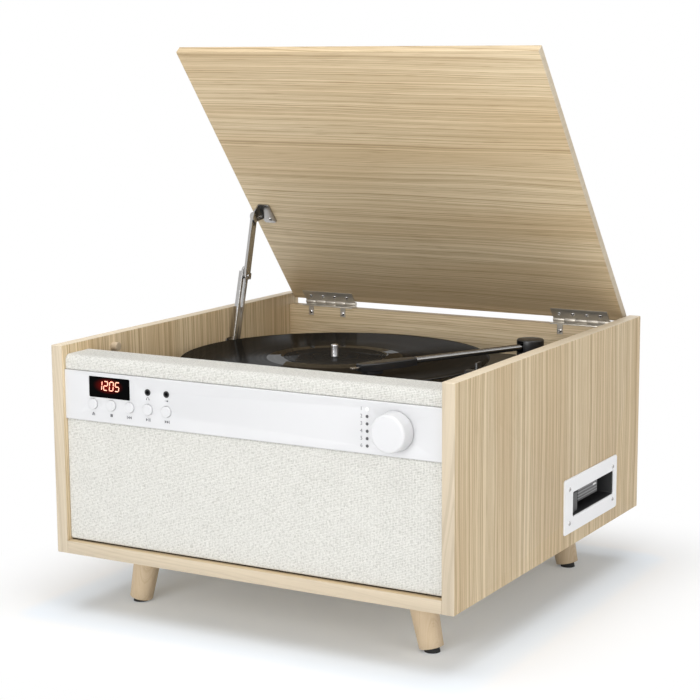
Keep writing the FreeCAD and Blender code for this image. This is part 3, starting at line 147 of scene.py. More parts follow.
class ClothLook(bpy.types.PropertyGroup):
    """Woven speaker cloth."""
    pale: FloatVectorProperty(name="Pale yarn", description="Most of the yarn", subtype="COLOR",
                              default=(0.78, 0.775, 0.735))
    # The grey yarn colour is also painted as shade into the low places between the yarns, in weave()
    grey: FloatVectorProperty(name="Grey yarn", description="Darker stretches of the yarn", subtype="COLOR",
                              default=(0.35, 0.345, 0.31))
    yarn: FloatProperty(name="Yarn", description="Distance from one yarn to the next", unit="LENGTH",
                        default=0.0014)
    sheet: FloatProperty(name="Sheet", description="Thickness of the cloth", unit="LENGTH", default=0.0006)
    roll: FloatProperty(name="Roll", description="Radius where the lower cloth turns over its frame",
                        unit="LENGTH", default=0.0022)


class TrimLook(bpy.types.PropertyGroup):
    """Plastics, printed marks and lit digits."""
    white: FloatVectorProperty(name="White", description="Strip, knob and bezels", subtype="COLOR",
                               default=(0.61, 0.612, 0.622))
    black: FloatVectorProperty(name="Black", description="Deck, arm and wells", subtype="COLOR",
                               default=(0.012, 0.012, 0.013))
    grey: FloatVectorProperty(name="Grey", description="Tape flap", subtype="COLOR",
                              default=(0.05, 0.05, 0.052))
    mark: FloatVectorProperty(name="Mark", description="Printed marks", subtype="COLOR",
                              default=(0.12, 0.12, 0.13))
    digit: FloatVectorProperty(name="Digit", description="Lit digits", subtype="COLOR",
                               default=(1.0, 0.42, 0.30))
    glow: FloatVectorProperty(name="Glow", description="Red haze round the digits", subtype="COLOR",
                              default=(0.15, 0.004, 0.002))


class MetalLook(bpy.types.PropertyGroup):
    """Bright and dark metal, and the record."""
    bright: FloatVectorProperty(name="Bright", description="Plated steel", subtype="COLOR",
                                default=(0.62, 0.61, 0.60))
    steel: FloatVectorProperty(name="Steel", description="Brushed steel", subtype="COLOR",
                               default=(0.30, 0.295, 0.29))
    vinyl: FloatVectorProperty(name="Vinyl", description="Record", subtype="COLOR",
                               default=(0.006, 0.0055, 0.005))
    label: FloatVectorProperty(name="Label", description="Record label", subtype="COLOR",
                               default=(0.016, 0.0155, 0.015))
    groove: FloatProperty(name="Groove", description="Distance between shown grooves", unit="LENGTH",
                          default=0.0007)


class Wire:
    """A socket that can stand in a sum: each sum adds its Math node."""

    def __init__(self, graph, socket):
        self.graph = graph
        self.socket = socket

    def math(self, operation, *others):
        return self.graph.add("ShaderNodeMath", {"operation": operation}, dict(enumerate((self, *others))))

    def __add__(self, other):
        return self.math("ADD", other)

    def __sub__(self, other):
        return self.math("SUBTRACT", other)

    def __rsub__(self, other):
        return self.graph.add("ShaderNodeMath", {"operation": "SUBTRACT"}, {0: other, 1: self})

    def __mul__(self, other):
        return self.math("MULTIPLY", other)

    def __truediv__(self, other):
        return self.math("DIVIDE", other)

    __radd__ = __add__
    __rmul__ = __mul__

    def hypot(self, other):
        return (self * self + other * other).math("SQRT")

    def clamped(self):
        return self.math("MAXIMUM", 0).math("MINIMUM", 1)

    def smooth(self, low, high):
        """0 below low, 1 above high, and a soft step between."""
        return self.graph.add("ShaderNodeMapRange", {"interpolation_type": "SMOOTHSTEP"},
                              {0: self, 1: low, 2: high})


class Graph:
    """The nodes of one tree, each added by one call."""

    def __init__(self, tree):
        self.tree = tree

    def add(self, kind, settings=None, sockets=None, out=0):
        node = self.tree.nodes.new(kind)
        for name, value in (settings or {}).items():
            setattr(node, name, value)
        for key, value in (sockets or {}).items():
            self.join(value, node.inputs[key])
        return Wire(self, node.outputs[out]) if node.outputs else node

    def outputs(self, kind, sockets=None):
        """Add a node and give all that it puts out, by name."""
        node = self.add(kind, {}, sockets).socket.node
        return {socket.name: Wire(self, socket) for socket in node.outputs}

    def join(self, value, socket):
        if isinstance(value, Wire):
            self.tree.links.new(value.socket, socket)
        elif socket.type == "RGBA":
            socket.default_value = (*value[:3], 1)
        else:
            socket.default_value = value

    def vector(self, *parts):
        return self.add("ShaderNodeCombineXYZ", {}, dict(enumerate(parts)))

    def seen(self):
        """1 for what the camera sees, also in a mirror or through glass."""
        rays = self.outputs("ShaderNodeLightPath")
        other = (rays[name] for name in ("Is Glossy Ray", "Is Transmission Ray"))
        return sum(other, rays["Is Camera Ray"]).math("MINIMUM", 1)


class Finish(Graph):
    """A material made of nodes round one shader."""

    def __init__(self, name, **constants):
        self.material = bpy.data.materials.new(name)
        self.material.use_nodes = True
        super().__init__(self.material.node_tree)
        self.tree.nodes.clear()
        self.shader = self.tree.nodes.new("ShaderNodeBsdfPrincipled")
        self.surface = Wire(self, self.shader.outputs[0])
        self.output = self.add("ShaderNodeOutputMaterial")
        self.show(self.surface)
        self.feed(**constants)

    def show(self, surface):
        self.join(surface, self.output.inputs["Surface"])

    def overlay(self, share, shader):
        """Show another shader in place of the plain one, by a share."""
        self.show(self.add("ShaderNodeMixShader", {}, {0: share, 1: self.surface, 2: shader}))

    def feed(self, **sockets):
        for name, value in sockets.items():
            self.join(value, self.shader.inputs[name.replace("_", " ")])
        return self.material

    def spot(self, turn=LEVEL, centre=(0, 0, 0)):
        """Object coordinates about a centre, turned."""
        place = self.add("ShaderNodeTexCoord", out=3)
        shift = -(Euler(turn).to_matrix() @ Vector(centre))
        return self.add("ShaderNodeMapping", {}, {"Vector": place, "Location": shift, "Rotation": turn})

    def axes(self, vector):
        return list(self.outputs("ShaderNodeSeparateXYZ", {0: vector}).values())

    def noise(self, place, fineness, detail=2.0, rough=0.5):
        """Noise on a place, with one fineness or one for each axis."""
        scale = fineness if isinstance(fineness, tuple) else (fineness, fineness, fineness)
        fine = self.add("ShaderNodeVectorMath", {"operation": "MULTIPLY"}, {0: place, 1: scale})
        return self.add("ShaderNodeTexNoise", {},
                        {"Vector": fine, "Scale": 1.0, "Detail": detail, "Roughness": rough})

    def line_noise(self, value, detail, rough):
        """Noise of one number, for bands."""
        return self.add("ShaderNodeTexNoise", {"noise_dimensions": "1D"},
                        {"W": value, "Scale": 1.0, "Detail": detail, "Roughness": rough})

    def mix(self, share, first, second):
        return self.add("ShaderNodeMix", {"data_type": "RGBA"}, {0: share, 6: first, 7: second}, out=2)

    def bump(self, height, depth, strength):
        return self.add("ShaderNodeBump", {}, {"Height": height, "Distance": depth, "Strength": strength})


def look(name):
    return getattr(bpy.context.scene, "player_" + name)


def scaled(colour, gain, lift=0.0):
    return [part * gain + lift for part in colour]


def wood(name, turn, colours, ring, pith, tilt, centre=(0, 0, 0), sway=0.012, contrast=1.0, edges=()):
    """Timber cut from a log: the grain runs along turned X, with the pith at (across, deep) of the centre.

    Tilt leans the log and sway makes its rings wander. Edges are (axis, place, gain) of pale cut edges,
    where the gain scales the strip's colour; the side panels' top edges use it for painted light.
    """
    finish = Finish(name, Specular_IOR_Level=0.3)
    grain = finish.spot(turn, centre)
    along, across, deep = finish.axes(grain)
    drift = finish.noise(grain, WAVES) - 0.5
    ripple = finish.noise(grain, RIPPLES) - 0.5
    rise = across - pith[0] + drift * sway
    under = deep - pith[1] + along * tilt + drift * (sway * 2)
    distance = rise.hypot(under) + ripple * (ring * 0.4)
    bands = finish.line_noise(distance / ring, 5.0, 0.7) - 0.5
    lines = finish.line_noise(distance * (LINES_PER_BAND / ring) + LINES_START, 2.0, 0.6).smooth(0.50, 0.60)
    patch = finish.noise(grain, PATCHES)
    fibre = finish.noise(grain, FIBRES, 4.0, 0.65) - 0.5
    pore = finish.noise(grain, PORES).smooth(0.58, 0.70)
    figure = (bands * BAND_DARK + lines * LINE_DARK) * contrast
    share = GROUND_DARK + figure + fibre * FIBRE_DARK + (patch - 0.5) * PATCH_DARK + pore * PORE_DARK
    light, dark, rose = colours
    base = finish.mix(patch.smooth(0.38, 0.62), light, rose)
    tint = finish.mix(share.clamped(), base, dark)
    places = finish.axes(finish.spot())
    for axis, spot, gain in edges:
        cut = 1 - (places[axis] - spot).math("ABSOLUTE").smooth(0.3 * MM, 0.6 * MM)
        # The gain of 1.4 on the side panels' top edges paints light on the edges that face up
        tint = finish.mix(cut * EDGE_COVER, tint, scaled(look("wood").edge, gain))
    return finish.feed(Base_Color=tint, Roughness=0.5 + fibre * 0.18,
                       Normal=finish.bump(fibre - pore * 0.6, 0.12 * MM, 0.5))


def veneer(name, turn, **cut):
    tones = look("wood")
    return wood(name, turn, (tones.light, tones.dark, tones.rose), tones.ring, **cut)


def plastic(name, colour, rough=0.35, relief=0.2, fineness=900):
    """Moulded plastic with a fine spark-eroded surface."""
    finish = Finish(name)
    speck = finish.noise(finish.spot(), fineness)
    cloud = finish.noise(finish.spot(), 18)
    tint = finish.mix(cloud * 0.12, colour, scaled(colour, 0.82))
    return finish.feed(Base_Color=tint, Roughness=rough + (speck - 0.5) * 0.12,
                       Normal=finish.bump(speck, 0.04 * MM, relief))


def metal(name, colour, rough, fineness, level=1.0):
    """Metal with a drawn or brushed grain, by its fineness along each axis."""
    finish = Finish(name, Metallic=level)
    line = finish.noise(finish.spot(), fineness, 3.0, 0.6)
    cloud = finish.noise(finish.spot(), 40)
    tint = finish.mix(line * 0.35 + cloud * 0.25, colour, scaled(colour, 0.62))
    return finish.feed(Base_Color=tint, Roughness=rough + (cloud - 0.5) * 0.15,
                       Normal=finish.bump(line, 0.03 * MM, 0.5))


def soft_rubber(name, colour):
    finish = Finish(name, Specular_IOR_Level=0.25)
    speck = finish.noise(finish.spot(), 700, 3.0)
    return finish.feed(Base_Color=finish.mix(speck, colour, scaled(colour, 1.4, 0.015)),
                       Roughness=0.6 + speck * 0.2, Normal=finish.bump(speck, 0.08 * MM, 0.5))


def plain_board(name, colour):
    """Pressed board with a fine darker fleck."""
    finish = Finish(name, Specular_IOR_Level=0.2)
    fleck = finish.noise(finish.spot(), (260, 420, 420), 4.0, 0.65)
    return finish.feed(Base_Color=finish.mix(fleck.smooth(0.35, 0.7), colour, scaled(colour, 0.62)),
                       Roughness=0.8 + fleck * 0.1, Normal=finish.bump(fleck, 0.1 * MM, 0.4))


def fibrous(name, dark, light, fineness, depth, strength, **constants):
    """Felt or paper: a tangle of fibres between two greys."""
    finish = Finish(name, **constants)
    fibre = finish.noise(finish.spot(), fineness, 4.0)
    return finish.feed(Base_Color=finish.mix(fibre, (dark, dark, dark), (light, light, light)),
                       Normal=finish.bump(fibre, depth, strength))


def weave(name):
    """Plain weave with heathered yarns and painted shade in the low places between them, on the cloth's own
    measure in metres.
    """
    cloth = look("cloth")
    finish = Finish(name, Roughness=0.92, Specular_IOR_Level=0.15, Sheen_Weight=0.12, Sheen_Roughness=0.5)
    place = finish.add("ShaderNodeUVMap", {"uv_map": "UVMap"})
    across, along, _ = finish.axes(place)
    wander = (finish.noise(place, (160, 160, 1)) - 0.5) * 0.7
    pace = math.pi / cloth.yarn
    warp = (across * pace + wander).math("SINE")
    weft = (along * pace + wander).math("SINE")
    over = (warp * weft).smooth(-0.35, 0.35)
    crown_warp = (across * (2 * pace) + wander * 2).math("COSINE")
    crown_weft = (along * (2 * pace) + wander * 2).math("COSINE")
    height = over * (0.5 - crown_warp * 0.5) + (1 - over) * (0.5 - crown_weft * 0.5)
    fine, long = 1 / cloth.yarn, 300
    heather_warp = finish.noise(place, (fine, long, 1), 2.0, 0.6)
    heather_weft = finish.noise(place, (long, fine, 1), 2.0, 0.6)
    heather = over * heather_warp + (1 - over) * heather_weft
    cloud = finish.noise(place, (60, 60, 1), 3.0) - 0.5
    slub = finish.noise(place, (1400, 280, 1)) + finish.noise(place, (280, 1400, 1)) - 1
    # (1 - height) * 0.8 is painted shade in the low places between the yarns; the heather, slubs and cloud
    # are the yarn's own colour
    share = heather.smooth(0.42, 0.74) * 0.5 + (1 - height) * 0.8 + slub * 0.75 + cloud * 0.2 - 0.2
    return finish.feed(Base_Color=finish.mix(share.clamped(), cloth.pale, cloth.grey),
                       Normal=finish.bump(height + heather * 0.5, 0.5 * MM, 0.7))


def dress(names, material, bevel=0.0):
    """Give solids their finish, with smooth round faces and soft edges of a width in millimetres."""
    for name in names:
        piece = NODES[name]
        mesh = piece.data
        mesh.materials.clear()
        mesh.materials.append(material)
        mesh.polygons.foreach_set("material_index", [0] * len(mesh.polygons))
        mesh.polygons.foreach_set("use_smooth", [True] * len(mesh.polygons))
        if "custom_normal" in mesh.attributes:
            mesh.attributes.remove(mesh.attributes["custom_normal"])
        piece.modifiers.new("weld", "WELD").merge_threshold = WELD
        if bevel:
            edge = piece.modifiers.new("edge", "BEVEL")
            edge.width = bevel * MM
            edge.segments = 2
            edge.limit_method = "ANGLE"
            edge.angle_limit = SOFTEN_FROM
        piece.modifiers.new("split", "EDGE_SPLIT").split_angle = SPLIT_FROM


def link(name, data):
    holder = bpy.data.objects.new(name, data)
    bpy.context.scene.collection.objects.link(holder)
    return holder


def new_piece(name, mesh, material, body, replaced=()):
    """Link a finished mesh, give it its finish and let it ride on its body."""
    piece = link(name, mesh)
    mesh.materials.clear()
    mesh.materials.append(material)
    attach(piece, body)
    if replaced:
        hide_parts(*replaced)
    return piece


def mesh_of(name, build):
    """A mesh made by a function that fills a bmesh."""
    work = bmesh.new()
    build(work)
    mesh = bpy.data.meshes.new(name)
    work.to_mesh(mesh)
    work.free()
    return mesh


def evaluated_mesh(holder):
    """The plain mesh of an object as its curve or modifiers make it; the object is then removed."""
    bpy.context.view_layer.update()
    mesh = bpy.data.meshes.new_from_object(holder.evaluated_get(bpy.context.evaluated_depsgraph_get()))
    bpy.data.objects.remove(holder)
    return mesh


def islands(name):
    """The separate solids of a node, each as its lowest and highest corner."""
    mesh = NODES[name].data
    keys = [tuple(round(part, 6) for part in vertex.co) for vertex in mesh.vertices]
    above = {key: key for key in keys}

    def root(key):
        while above[key] != key:
            key = above[key]
        return key

    for polygon in mesh.polygons:
        first, *others = [keys[index] for index in polygon.vertices]
        for other in others:
            above[root(other)] = root(first)
    groups = {}
    for key in above:
        groups.setdefault(root(key), []).append(key)
    return [(Vector(map(min, zip(*points))), Vector(map(max, zip(*points)))) for points in groups.values()]


def middle(corners):
    return (corners[0] + corners[1]) / 2


def lathe(work, profile, centre, steps):
    """Turn a closed (radius, height) outline about an upright axis."""
    rings = []
    for step in range(steps):
        angle = math.tau * step / steps
        spoke = Vector((math.cos(angle), math.sin(angle), 0))
        rings.append([work.verts.new(centre + spoke * radius + Vector((0, 0, height)))
                      for radius, height in profile])
    for ring, following in zip(rings, rings[1:] + rings[:1]):
        for index in range(len(profile)):
            nearby = (index + 1) % len(profile)
            work.faces.new((ring[index], following[index], following[nearby], ring[nearby]))
    bmesh.ops.recalc_face_normals(work, faces=work.faces)


def smooth_faces(mesh, angle):
    """Shade round faces smooth and keep creases past an angle in degrees sharp."""
    mesh.polygons.foreach_set("use_smooth", [True] * len(mesh.polygons))
    mesh.set_sharp_from_angle(angle=math.radians(angle))


def raised(work, outline, place, height):
    """A flat sign: an outline in its own plane, set at a place and given a little height."""
    base = [work.verts.new(place @ Vector((x, y, 0))) for x, y in outline]
    top = [work.verts.new(place @ Vector((x, y, height))) for x, y in outline]
    work.faces.new(top)
    work.faces.new(list(reversed(base)))
    for index in range(len(outline)):
        nearby = (index + 1) % len(outline)
        work.faces.new((base[index], base[nearby], top[nearby], top[index]))


def digits(work, text, size, place):
    """Plain printed digits, centred on a place."""
    curve = bpy.data.curves.new("digits", "FONT")
    curve.body = text
    curve.size = size
    curve.align_x = "CENTER"
    curve.align_y = "CENTER"
    curve.extrude = INK / 2
    mesh = evaluated_mesh(link("digits", curve))
    mesh.transform(place @ Matrix.Translation((0, 0, INK / 2)))
    work.from_mesh(mesh)
    bpy.data.meshes.remove(mesh)
    bpy.data.curves.remove(curve)


def bar(x, wide, low, top):
    return [(x, low), (x + wide, low), (x + wide, top), (x, top)]


def arc(centre, radius, start, stop, steps):
    """Points of an arc in a plane."""
    angles = [start + (stop - start) * step / steps for step in range(steps + 1)]
    return [(centre[0] + radius * math.cos(angle), centre[1] + radius * math.sin(angle))
            for angle in angles]


def between(start, stop, steps):
    """Even points between two places in a plane, without the places themselves."""
    shares = [step / steps for step in range(1, steps)]
    return [(start[0] + (stop[0] - start[0]) * share, start[1] + (stop[1] - start[1]) * share)
            for share in shares]


def swept_cloth(name, path, low, high, roll, material, node):
    """A stretched sheet along X over a (y, z) path, turned in at both ends; UV is in metres."""
    turn_steps, span_steps = 6, 160
    ends = [roll * (1 - math.cos(math.pi / 2 * step / turn_steps)) for step in range(turn_steps + 1)]
    inner = [low + roll + (high - low - 2 * roll) * step / span_steps for step in range(1, span_steps)]
    columns = [low + end for end in ends] + inner + [high - end for end in reversed(ends)]
    lengths = [0.0]
    for (y0, z0), (y1, z1) in zip(path, path[1:]):
        lengths.append(lengths[-1] + math.hypot(y1 - y0, z1 - z0))
    normals = []
    for index in range(len(path)):
        (y0, z0), (y1, z1) = path[max(index - 1, 0)], path[min(index + 1, len(path) - 1)]
        normals.append(Vector((0, -(z1 - z0), y1 - y0)).normalized())

    def build(work):
        layer = work.loops.layers.uv.new("UVMap")
        rows = []
        for (y, z), normal in zip(path, normals):
            row = []
            for x in columns:
                inset = max(0.0, roll - min(x - low, high - x))
                sink = roll - math.sqrt(roll * roll - inset * inset)
                row.append(work.verts.new(Vector((x, y, z)) - normal * sink))
            rows.append(row)
        for upper in range(1, len(rows)):
            for column in range(1, len(columns)):
                spots = ((upper - 1, column - 1), (upper - 1, column), (upper, column), (upper, column - 1))
                face = work.faces.new([rows[line][place] for line, place in spots])
                for loop, (line, place) in zip(face.loops, spots):
                    loop[layer].uv = (columns[place], lengths[line])

    mesh = mesh_of(name, build)
    mesh.polygons.foreach_set("use_smooth", [True] * len(mesh.polygons))
    piece = new_piece(name, mesh, material, "cabinet", [node])
    wall = piece.modifiers.new("wall", "SOLIDIFY")
    wall.thickness = look("cloth").sheet
    wall.offset = -1


class PLAYER_OT_cabinet(bpy.types.Operator):
    """Veneer the panels and finish the legs and feet"""
    bl_idname = "player.cabinet"
    bl_label = "Cabinet"

    def execute(self, context):
        tones = look("wood")
        low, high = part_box("right_side_panel")
        # The top edge's gain of 1.4 against 1.0 at the front is painted light on the edges that face up
        front, top = (1, low.y, 1.0), (2, high.z, 1.4)
        right = veneer("right_side_veneer", UPRIGHT, centre=(0.2, 0.03, 0), pith=(0.42, 0.16), tilt=0.05,
                       sway=0.02, contrast=1.45, edges=[front, top])
        left = veneer("left_side_veneer", UPRIGHT, centre=(-0.2, -0.02, 0), pith=(-0.4, 0.2), tilt=-0.04,
                      sway=0.02, contrast=1.3, edges=[front, top])
        under = veneer("bottom_veneer", LEVEL, pith=(0.05, 0.3), tilt=0.03, contrast=0.7, edges=[front])
        back = veneer("back_veneer", ON_EDGE, centre=(0.05, 0.2, 0.19), pith=(0.28, 0.05), tilt=0.02,
                      sway=0.006)
        leg = wood("leg_timber", UPRIGHT, (tones.leg, tones.leg_dark, tones.leg), tones.leg_ring,
                   pith=(0.3, 0.5), tilt=0.02, sway=0.004, contrast=0.6)
        dress(["right_side_panel"], right, 0.4)
        dress(["left_side_panel"], left, 0.4)
        dress(["bottom_panel"], under, 0.4)
        dress(["back_panel"], back, 0.3)
        dress(["legs"], leg, 0.6)
        dress(["leg_feet"], soft_rubber("foot_rubber", (0.010, 0.010, 0.010)), 0.5)
        dress(["lid_bumpers"], soft_rubber("bumper_rubber", (0.42, 0.34, 0.24)), 0.5)
        dress(["front_rail"], plain_board("pressed_board", (0.42, 0.31, 0.20)))
        # The baffle's dark board is partly its real black paint and partly painted shade, deepening the
        # dark line seen through the gap below the lower cloth
        dress(["speaker_baffle"], plain_board("dark_board", (0.05, 0.037, 0.026)))
        return {"FINISHED"}


class PLAYER_OT_grille(bpy.types.Operator):
    """Stretch the woven cloth over the front and the ledge"""
    bl_idname = "player.grille"
    bl_label = "Grille cloth"

    # Dark line below the lower cloth, and where the upper one turns over the ledge, in, and at its ends
    GAP, NOSE, HEEL, END = 1.6 * MM, 6.0 * MM, 1.5 * MM, 1.2 * MM

    def lower(self, material):
        """The sheet below the strip, turned in at its top and bottom."""
        roll = look("cloth").roll
        low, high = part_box("lower_grille_cloth")
        low.z += self.GAP
        path = arc((low.y + roll, low.z + roll), roll, -math.pi / 2, -math.pi, 6)
        path += between((low.y, low.z + roll), (low.y, high.z - roll), 60)
        path += arc((low.y + roll, high.z - roll), roll, math.pi, math.pi / 2, 6)
        swept_cloth("lower_cloth", path, low.x, high.x, roll, material, "lower_grille_cloth")

    def upper(self, material):
        """The sheet above the strip, which runs over the ledge."""
        nose, heel = self.NOSE, self.HEEL
        low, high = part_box("upper_grille_cloth")
        path = arc((low.y + heel, low.z + heel), heel, -math.pi / 2, -math.pi, 5)
        path += between((low.y, low.z + heel), (low.y, high.z - nose), 6)
        path += arc((low.y + nose, high.z - nose), nose, math.pi, math.pi / 2, 16)
        path += between((low.y + nose, high.z), (high.y - heel, high.z), 16)
        path += arc((high.y - heel, high.z - heel), heel, math.pi / 2, 0, 5)
        swept_cloth("upper_cloth", path, low.x, high.x, self.END, material, "upper_grille_cloth")

    def execute(self, context):
        material = weave("speaker_cloth")
        self.lower(material)
        self.upper(material)
        return {"FINISHED"}


class PLAYER_OT_strip(bpy.types.Operator):
    """Finish the control strip, its buttons, jacks, lamps and knob, and print its marks"""
    bl_idname = "player.strip"
    bl_label = "Control strip"

    # Half a sign's height, and how far below its piece it stands
    BUTTON_SIGN = (1.45 * MM, 9.3 * MM)
    JACK_SIGN = (1.2 * MM, 6.0 * MM)

    def sign(self, work, face, shapes, spot, sizes):
        """Print the shapes of one sign below a spot."""
        unit, drop = sizes
        place = Matrix.Translation((spot.x, face, spot.z - drop)) @ FACING_FRONT
        for shape in shapes:
            raised(work, [(x * unit, y * unit) for x, y in shape], place, INK)

    def button_signs(self, work, face):
        """Transport signs below the buttons."""
        def right(x):
            return [(x, -1), (x + 1.5, 0), (x, 1)]

        def left(x):
            return [(x + 1.5, -1), (x + 1.5, 1), (x, 0)]

        up = [(-1.3, -0.2), (1.3, -0.2), (0, 1.2)]
        signs = {
            "tray": [up, bar(-1.3, 2.6, -1, -0.55)],
            "stop": [bar(-0.95, 1.9, -0.95, 0.95)],
            "back": [bar(-2.2, 0.45, -1, 1), left(-1.6), left(-0.1)],
            "play": [right(-1.7), bar(0.25, 0.5, -1, 1), bar(1.15, 0.5, -1, 1)],
            "skip": [right(-1.6), right(-0.1), bar(1.5, 0.45, -1, 1)],
        }
        for name, shapes in signs.items():
            self.sign(work, face, shapes, middle(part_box(name + "_button")), self.BUTTON_SIGN)

    def jack_signs(self, work, face):
        """A headphone sign and a plug sign below the two jacks."""
        headset, plug = sorted(map(middle, islands("front_jacks")), key=lambda spot: spot.x)
        band = arc((0, 0), 1.3, 0, math.pi, 12) + arc((0, 0), 0.95, math.pi, 0, 12)
        pads = [bar(x, 0.7, -0.9, 0.25) for x in (0.8, -1.5)]
        self.sign(work, face, [band, *pads], headset, self.JACK_SIGN)
        self.sign(work, face, [bar(-1.5, 1.6, -0.18, 0.18), bar(0.1, 1.4, -0.6, 0.6)], plug, self.JACK_SIGN)

    def lamp_numbers(self, work, face):
        size, aside = 4.6 * MM, 5.6 * MM
        lamps = sorted(map(middle, islands("indicator_lamps")), key=lambda spot: -spot.z)
        for number, spot in enumerate(lamps, 1):
            place = Matrix.Translation((spot.x - aside, face, spot.z)) @ FACING_FRONT
            digits(work, str(number), size, place)

    def marks(self, work):
        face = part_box("control_strip")[0].y
        self.button_signs(work, face)
        self.jack_signs(work, face)
        self.lamp_numbers(work, face)

    def lens(self):
        """Dark lamps, of which the topmost is lit."""
        crown = max(high.z for _, high in islands("indicator_lamps"))
        lamp = Finish("lamp_lens", Roughness=0.2, Emission_Strength=0.55)
        lit = lamp.axes(lamp.spot())[2].smooth(crown - 4.5 * MM, crown - 4.0 * MM)
        cloud = lamp.noise(lamp.spot(), 900, 1.0) * 0.04
        dark = lamp.mix(cloud, (0.085, 0.085, 0.09), (0.2, 0.2, 0.2))
        return lamp.feed(Base_Color=lamp.mix(lit, dark, (0.9, 0.9, 0.9)),
                         Emission_Color=lamp.mix(lit, (0, 0, 0), (1, 1, 1)))

    def execute(self, context):
        trim = look("trim")
        dress(["control_strip"], plastic("white_plastic", trim.white, 0.38), 0.2)
        dress(["selector_knob"], plastic("knob_plastic", scaled(trim.white, 1.03), 0.32), 0.2)
        dress([name + "_button" for name in BUTTONS], plastic("button_plastic", trim.white, 0.3))
        dress(["front_jacks"], plastic("jack_plastic", trim.black, 0.3), 0.1)
        dress(["indicator_lamps"], self.lens())
        ink = plastic("mark_ink", trim.mark, 0.6)
        new_piece("strip_marks", mesh_of("strip_marks", self.marks), ink, "cabinet")
        return {"FINISHED"}


class PLAYER_OT_display(bpy.types.Operator):
    """Set lit digits in the dark window"""
    bl_idname = "player.display"
    bl_label = "Display"

    SEGMENTS = {"0": "abcdef", "1": "bc", "2": "abged", "5": "afgcd"}
    SHOWN = "1205"
    WIDE, TALL, PITCH = 4.2 * MM, 8.2 * MM, 6.4 * MM
    BAR, GAP, LEAN, HEIGHT = 0.8 * MM, 0.2 * MM, 0.12, 0.05 * MM
    ASIDE, RAISED = -1.5 * MM, 1.6 * MM
    HAZE_WIDE, HAZE_HIGH = 16.5 * MM, 7.5 * MM

    def digit(self, work, text, place):
        """One digit of seven slim bars that lean a little."""
        half, rise, tip = self.WIDE / 2, self.TALL / 2, self.BAR / 2
        flat = {"a": self.TALL, "g": rise, "d": 0.0}
        upright = {"f": (-half, rise), "b": (half, rise), "e": (-half, 0.0), "c": (half, 0.0)}
        for name in self.SEGMENTS[text]:
            if name in flat:
                y, end = flat[name], half - self.GAP
                outline = [(-end, y), (tip - end, y - tip), (end - tip, y - tip),
                           (end, y), (end - tip, y + tip), (tip - end, y + tip)]
            else:
                x, foot = upright[name]
                low, high = foot + self.GAP, foot + rise - self.GAP
                outline = [(x, low), (x + tip, low + tip), (x + tip, high - tip),
                           (x, high), (x - tip, high - tip), (x - tip, low + tip)]
            raised(work, [(x + self.LEAN * y, y) for x, y in outline], place, self.HEIGHT)

    def number(self, work, spot):
        for index, text in enumerate(self.SHOWN):
            x = spot.x + (index - (len(self.SHOWN) - 1) / 2) * self.PITCH
            foot = Matrix.Translation((x, spot.y, spot.z - self.TALL / 2))
            self.digit(work, text, foot @ FACING_FRONT)

    def execute(self, context):
        trim = look("trim")
        low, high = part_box("display_window")
        centre = middle((low, high))
        spot = Vector((centre.x + self.ASIDE, low.y, centre.z + self.RAISED))
        pane = Finish("display_glass", Base_Color=(0.001, 0.001, 0.0011), Roughness=0.3,
                      Specular_IOR_Level=0.02, Emission_Strength=1.0)
        across, _, level = pane.axes(pane.spot(centre=spot))
        haze = 1 - (across / self.HAZE_WIDE).hypot(level / self.HAZE_HIGH).smooth(0.2, 1.1)
        pane.feed(Emission_Color=pane.mix(haze, (0, 0, 0), trim.glow))
        dress(["display_window"], pane.material, 0.1)
        lit = Finish("lit_digit", Base_Color=trim.digit, Roughness=0.4, Emission_Color=trim.digit,
                     Emission_Strength=1.3)
        mesh = mesh_of("display_digits", lambda work: self.number(work, spot))
        new_piece("display_digits", mesh, lit.material, "cabinet")
        return {"FINISHED"}


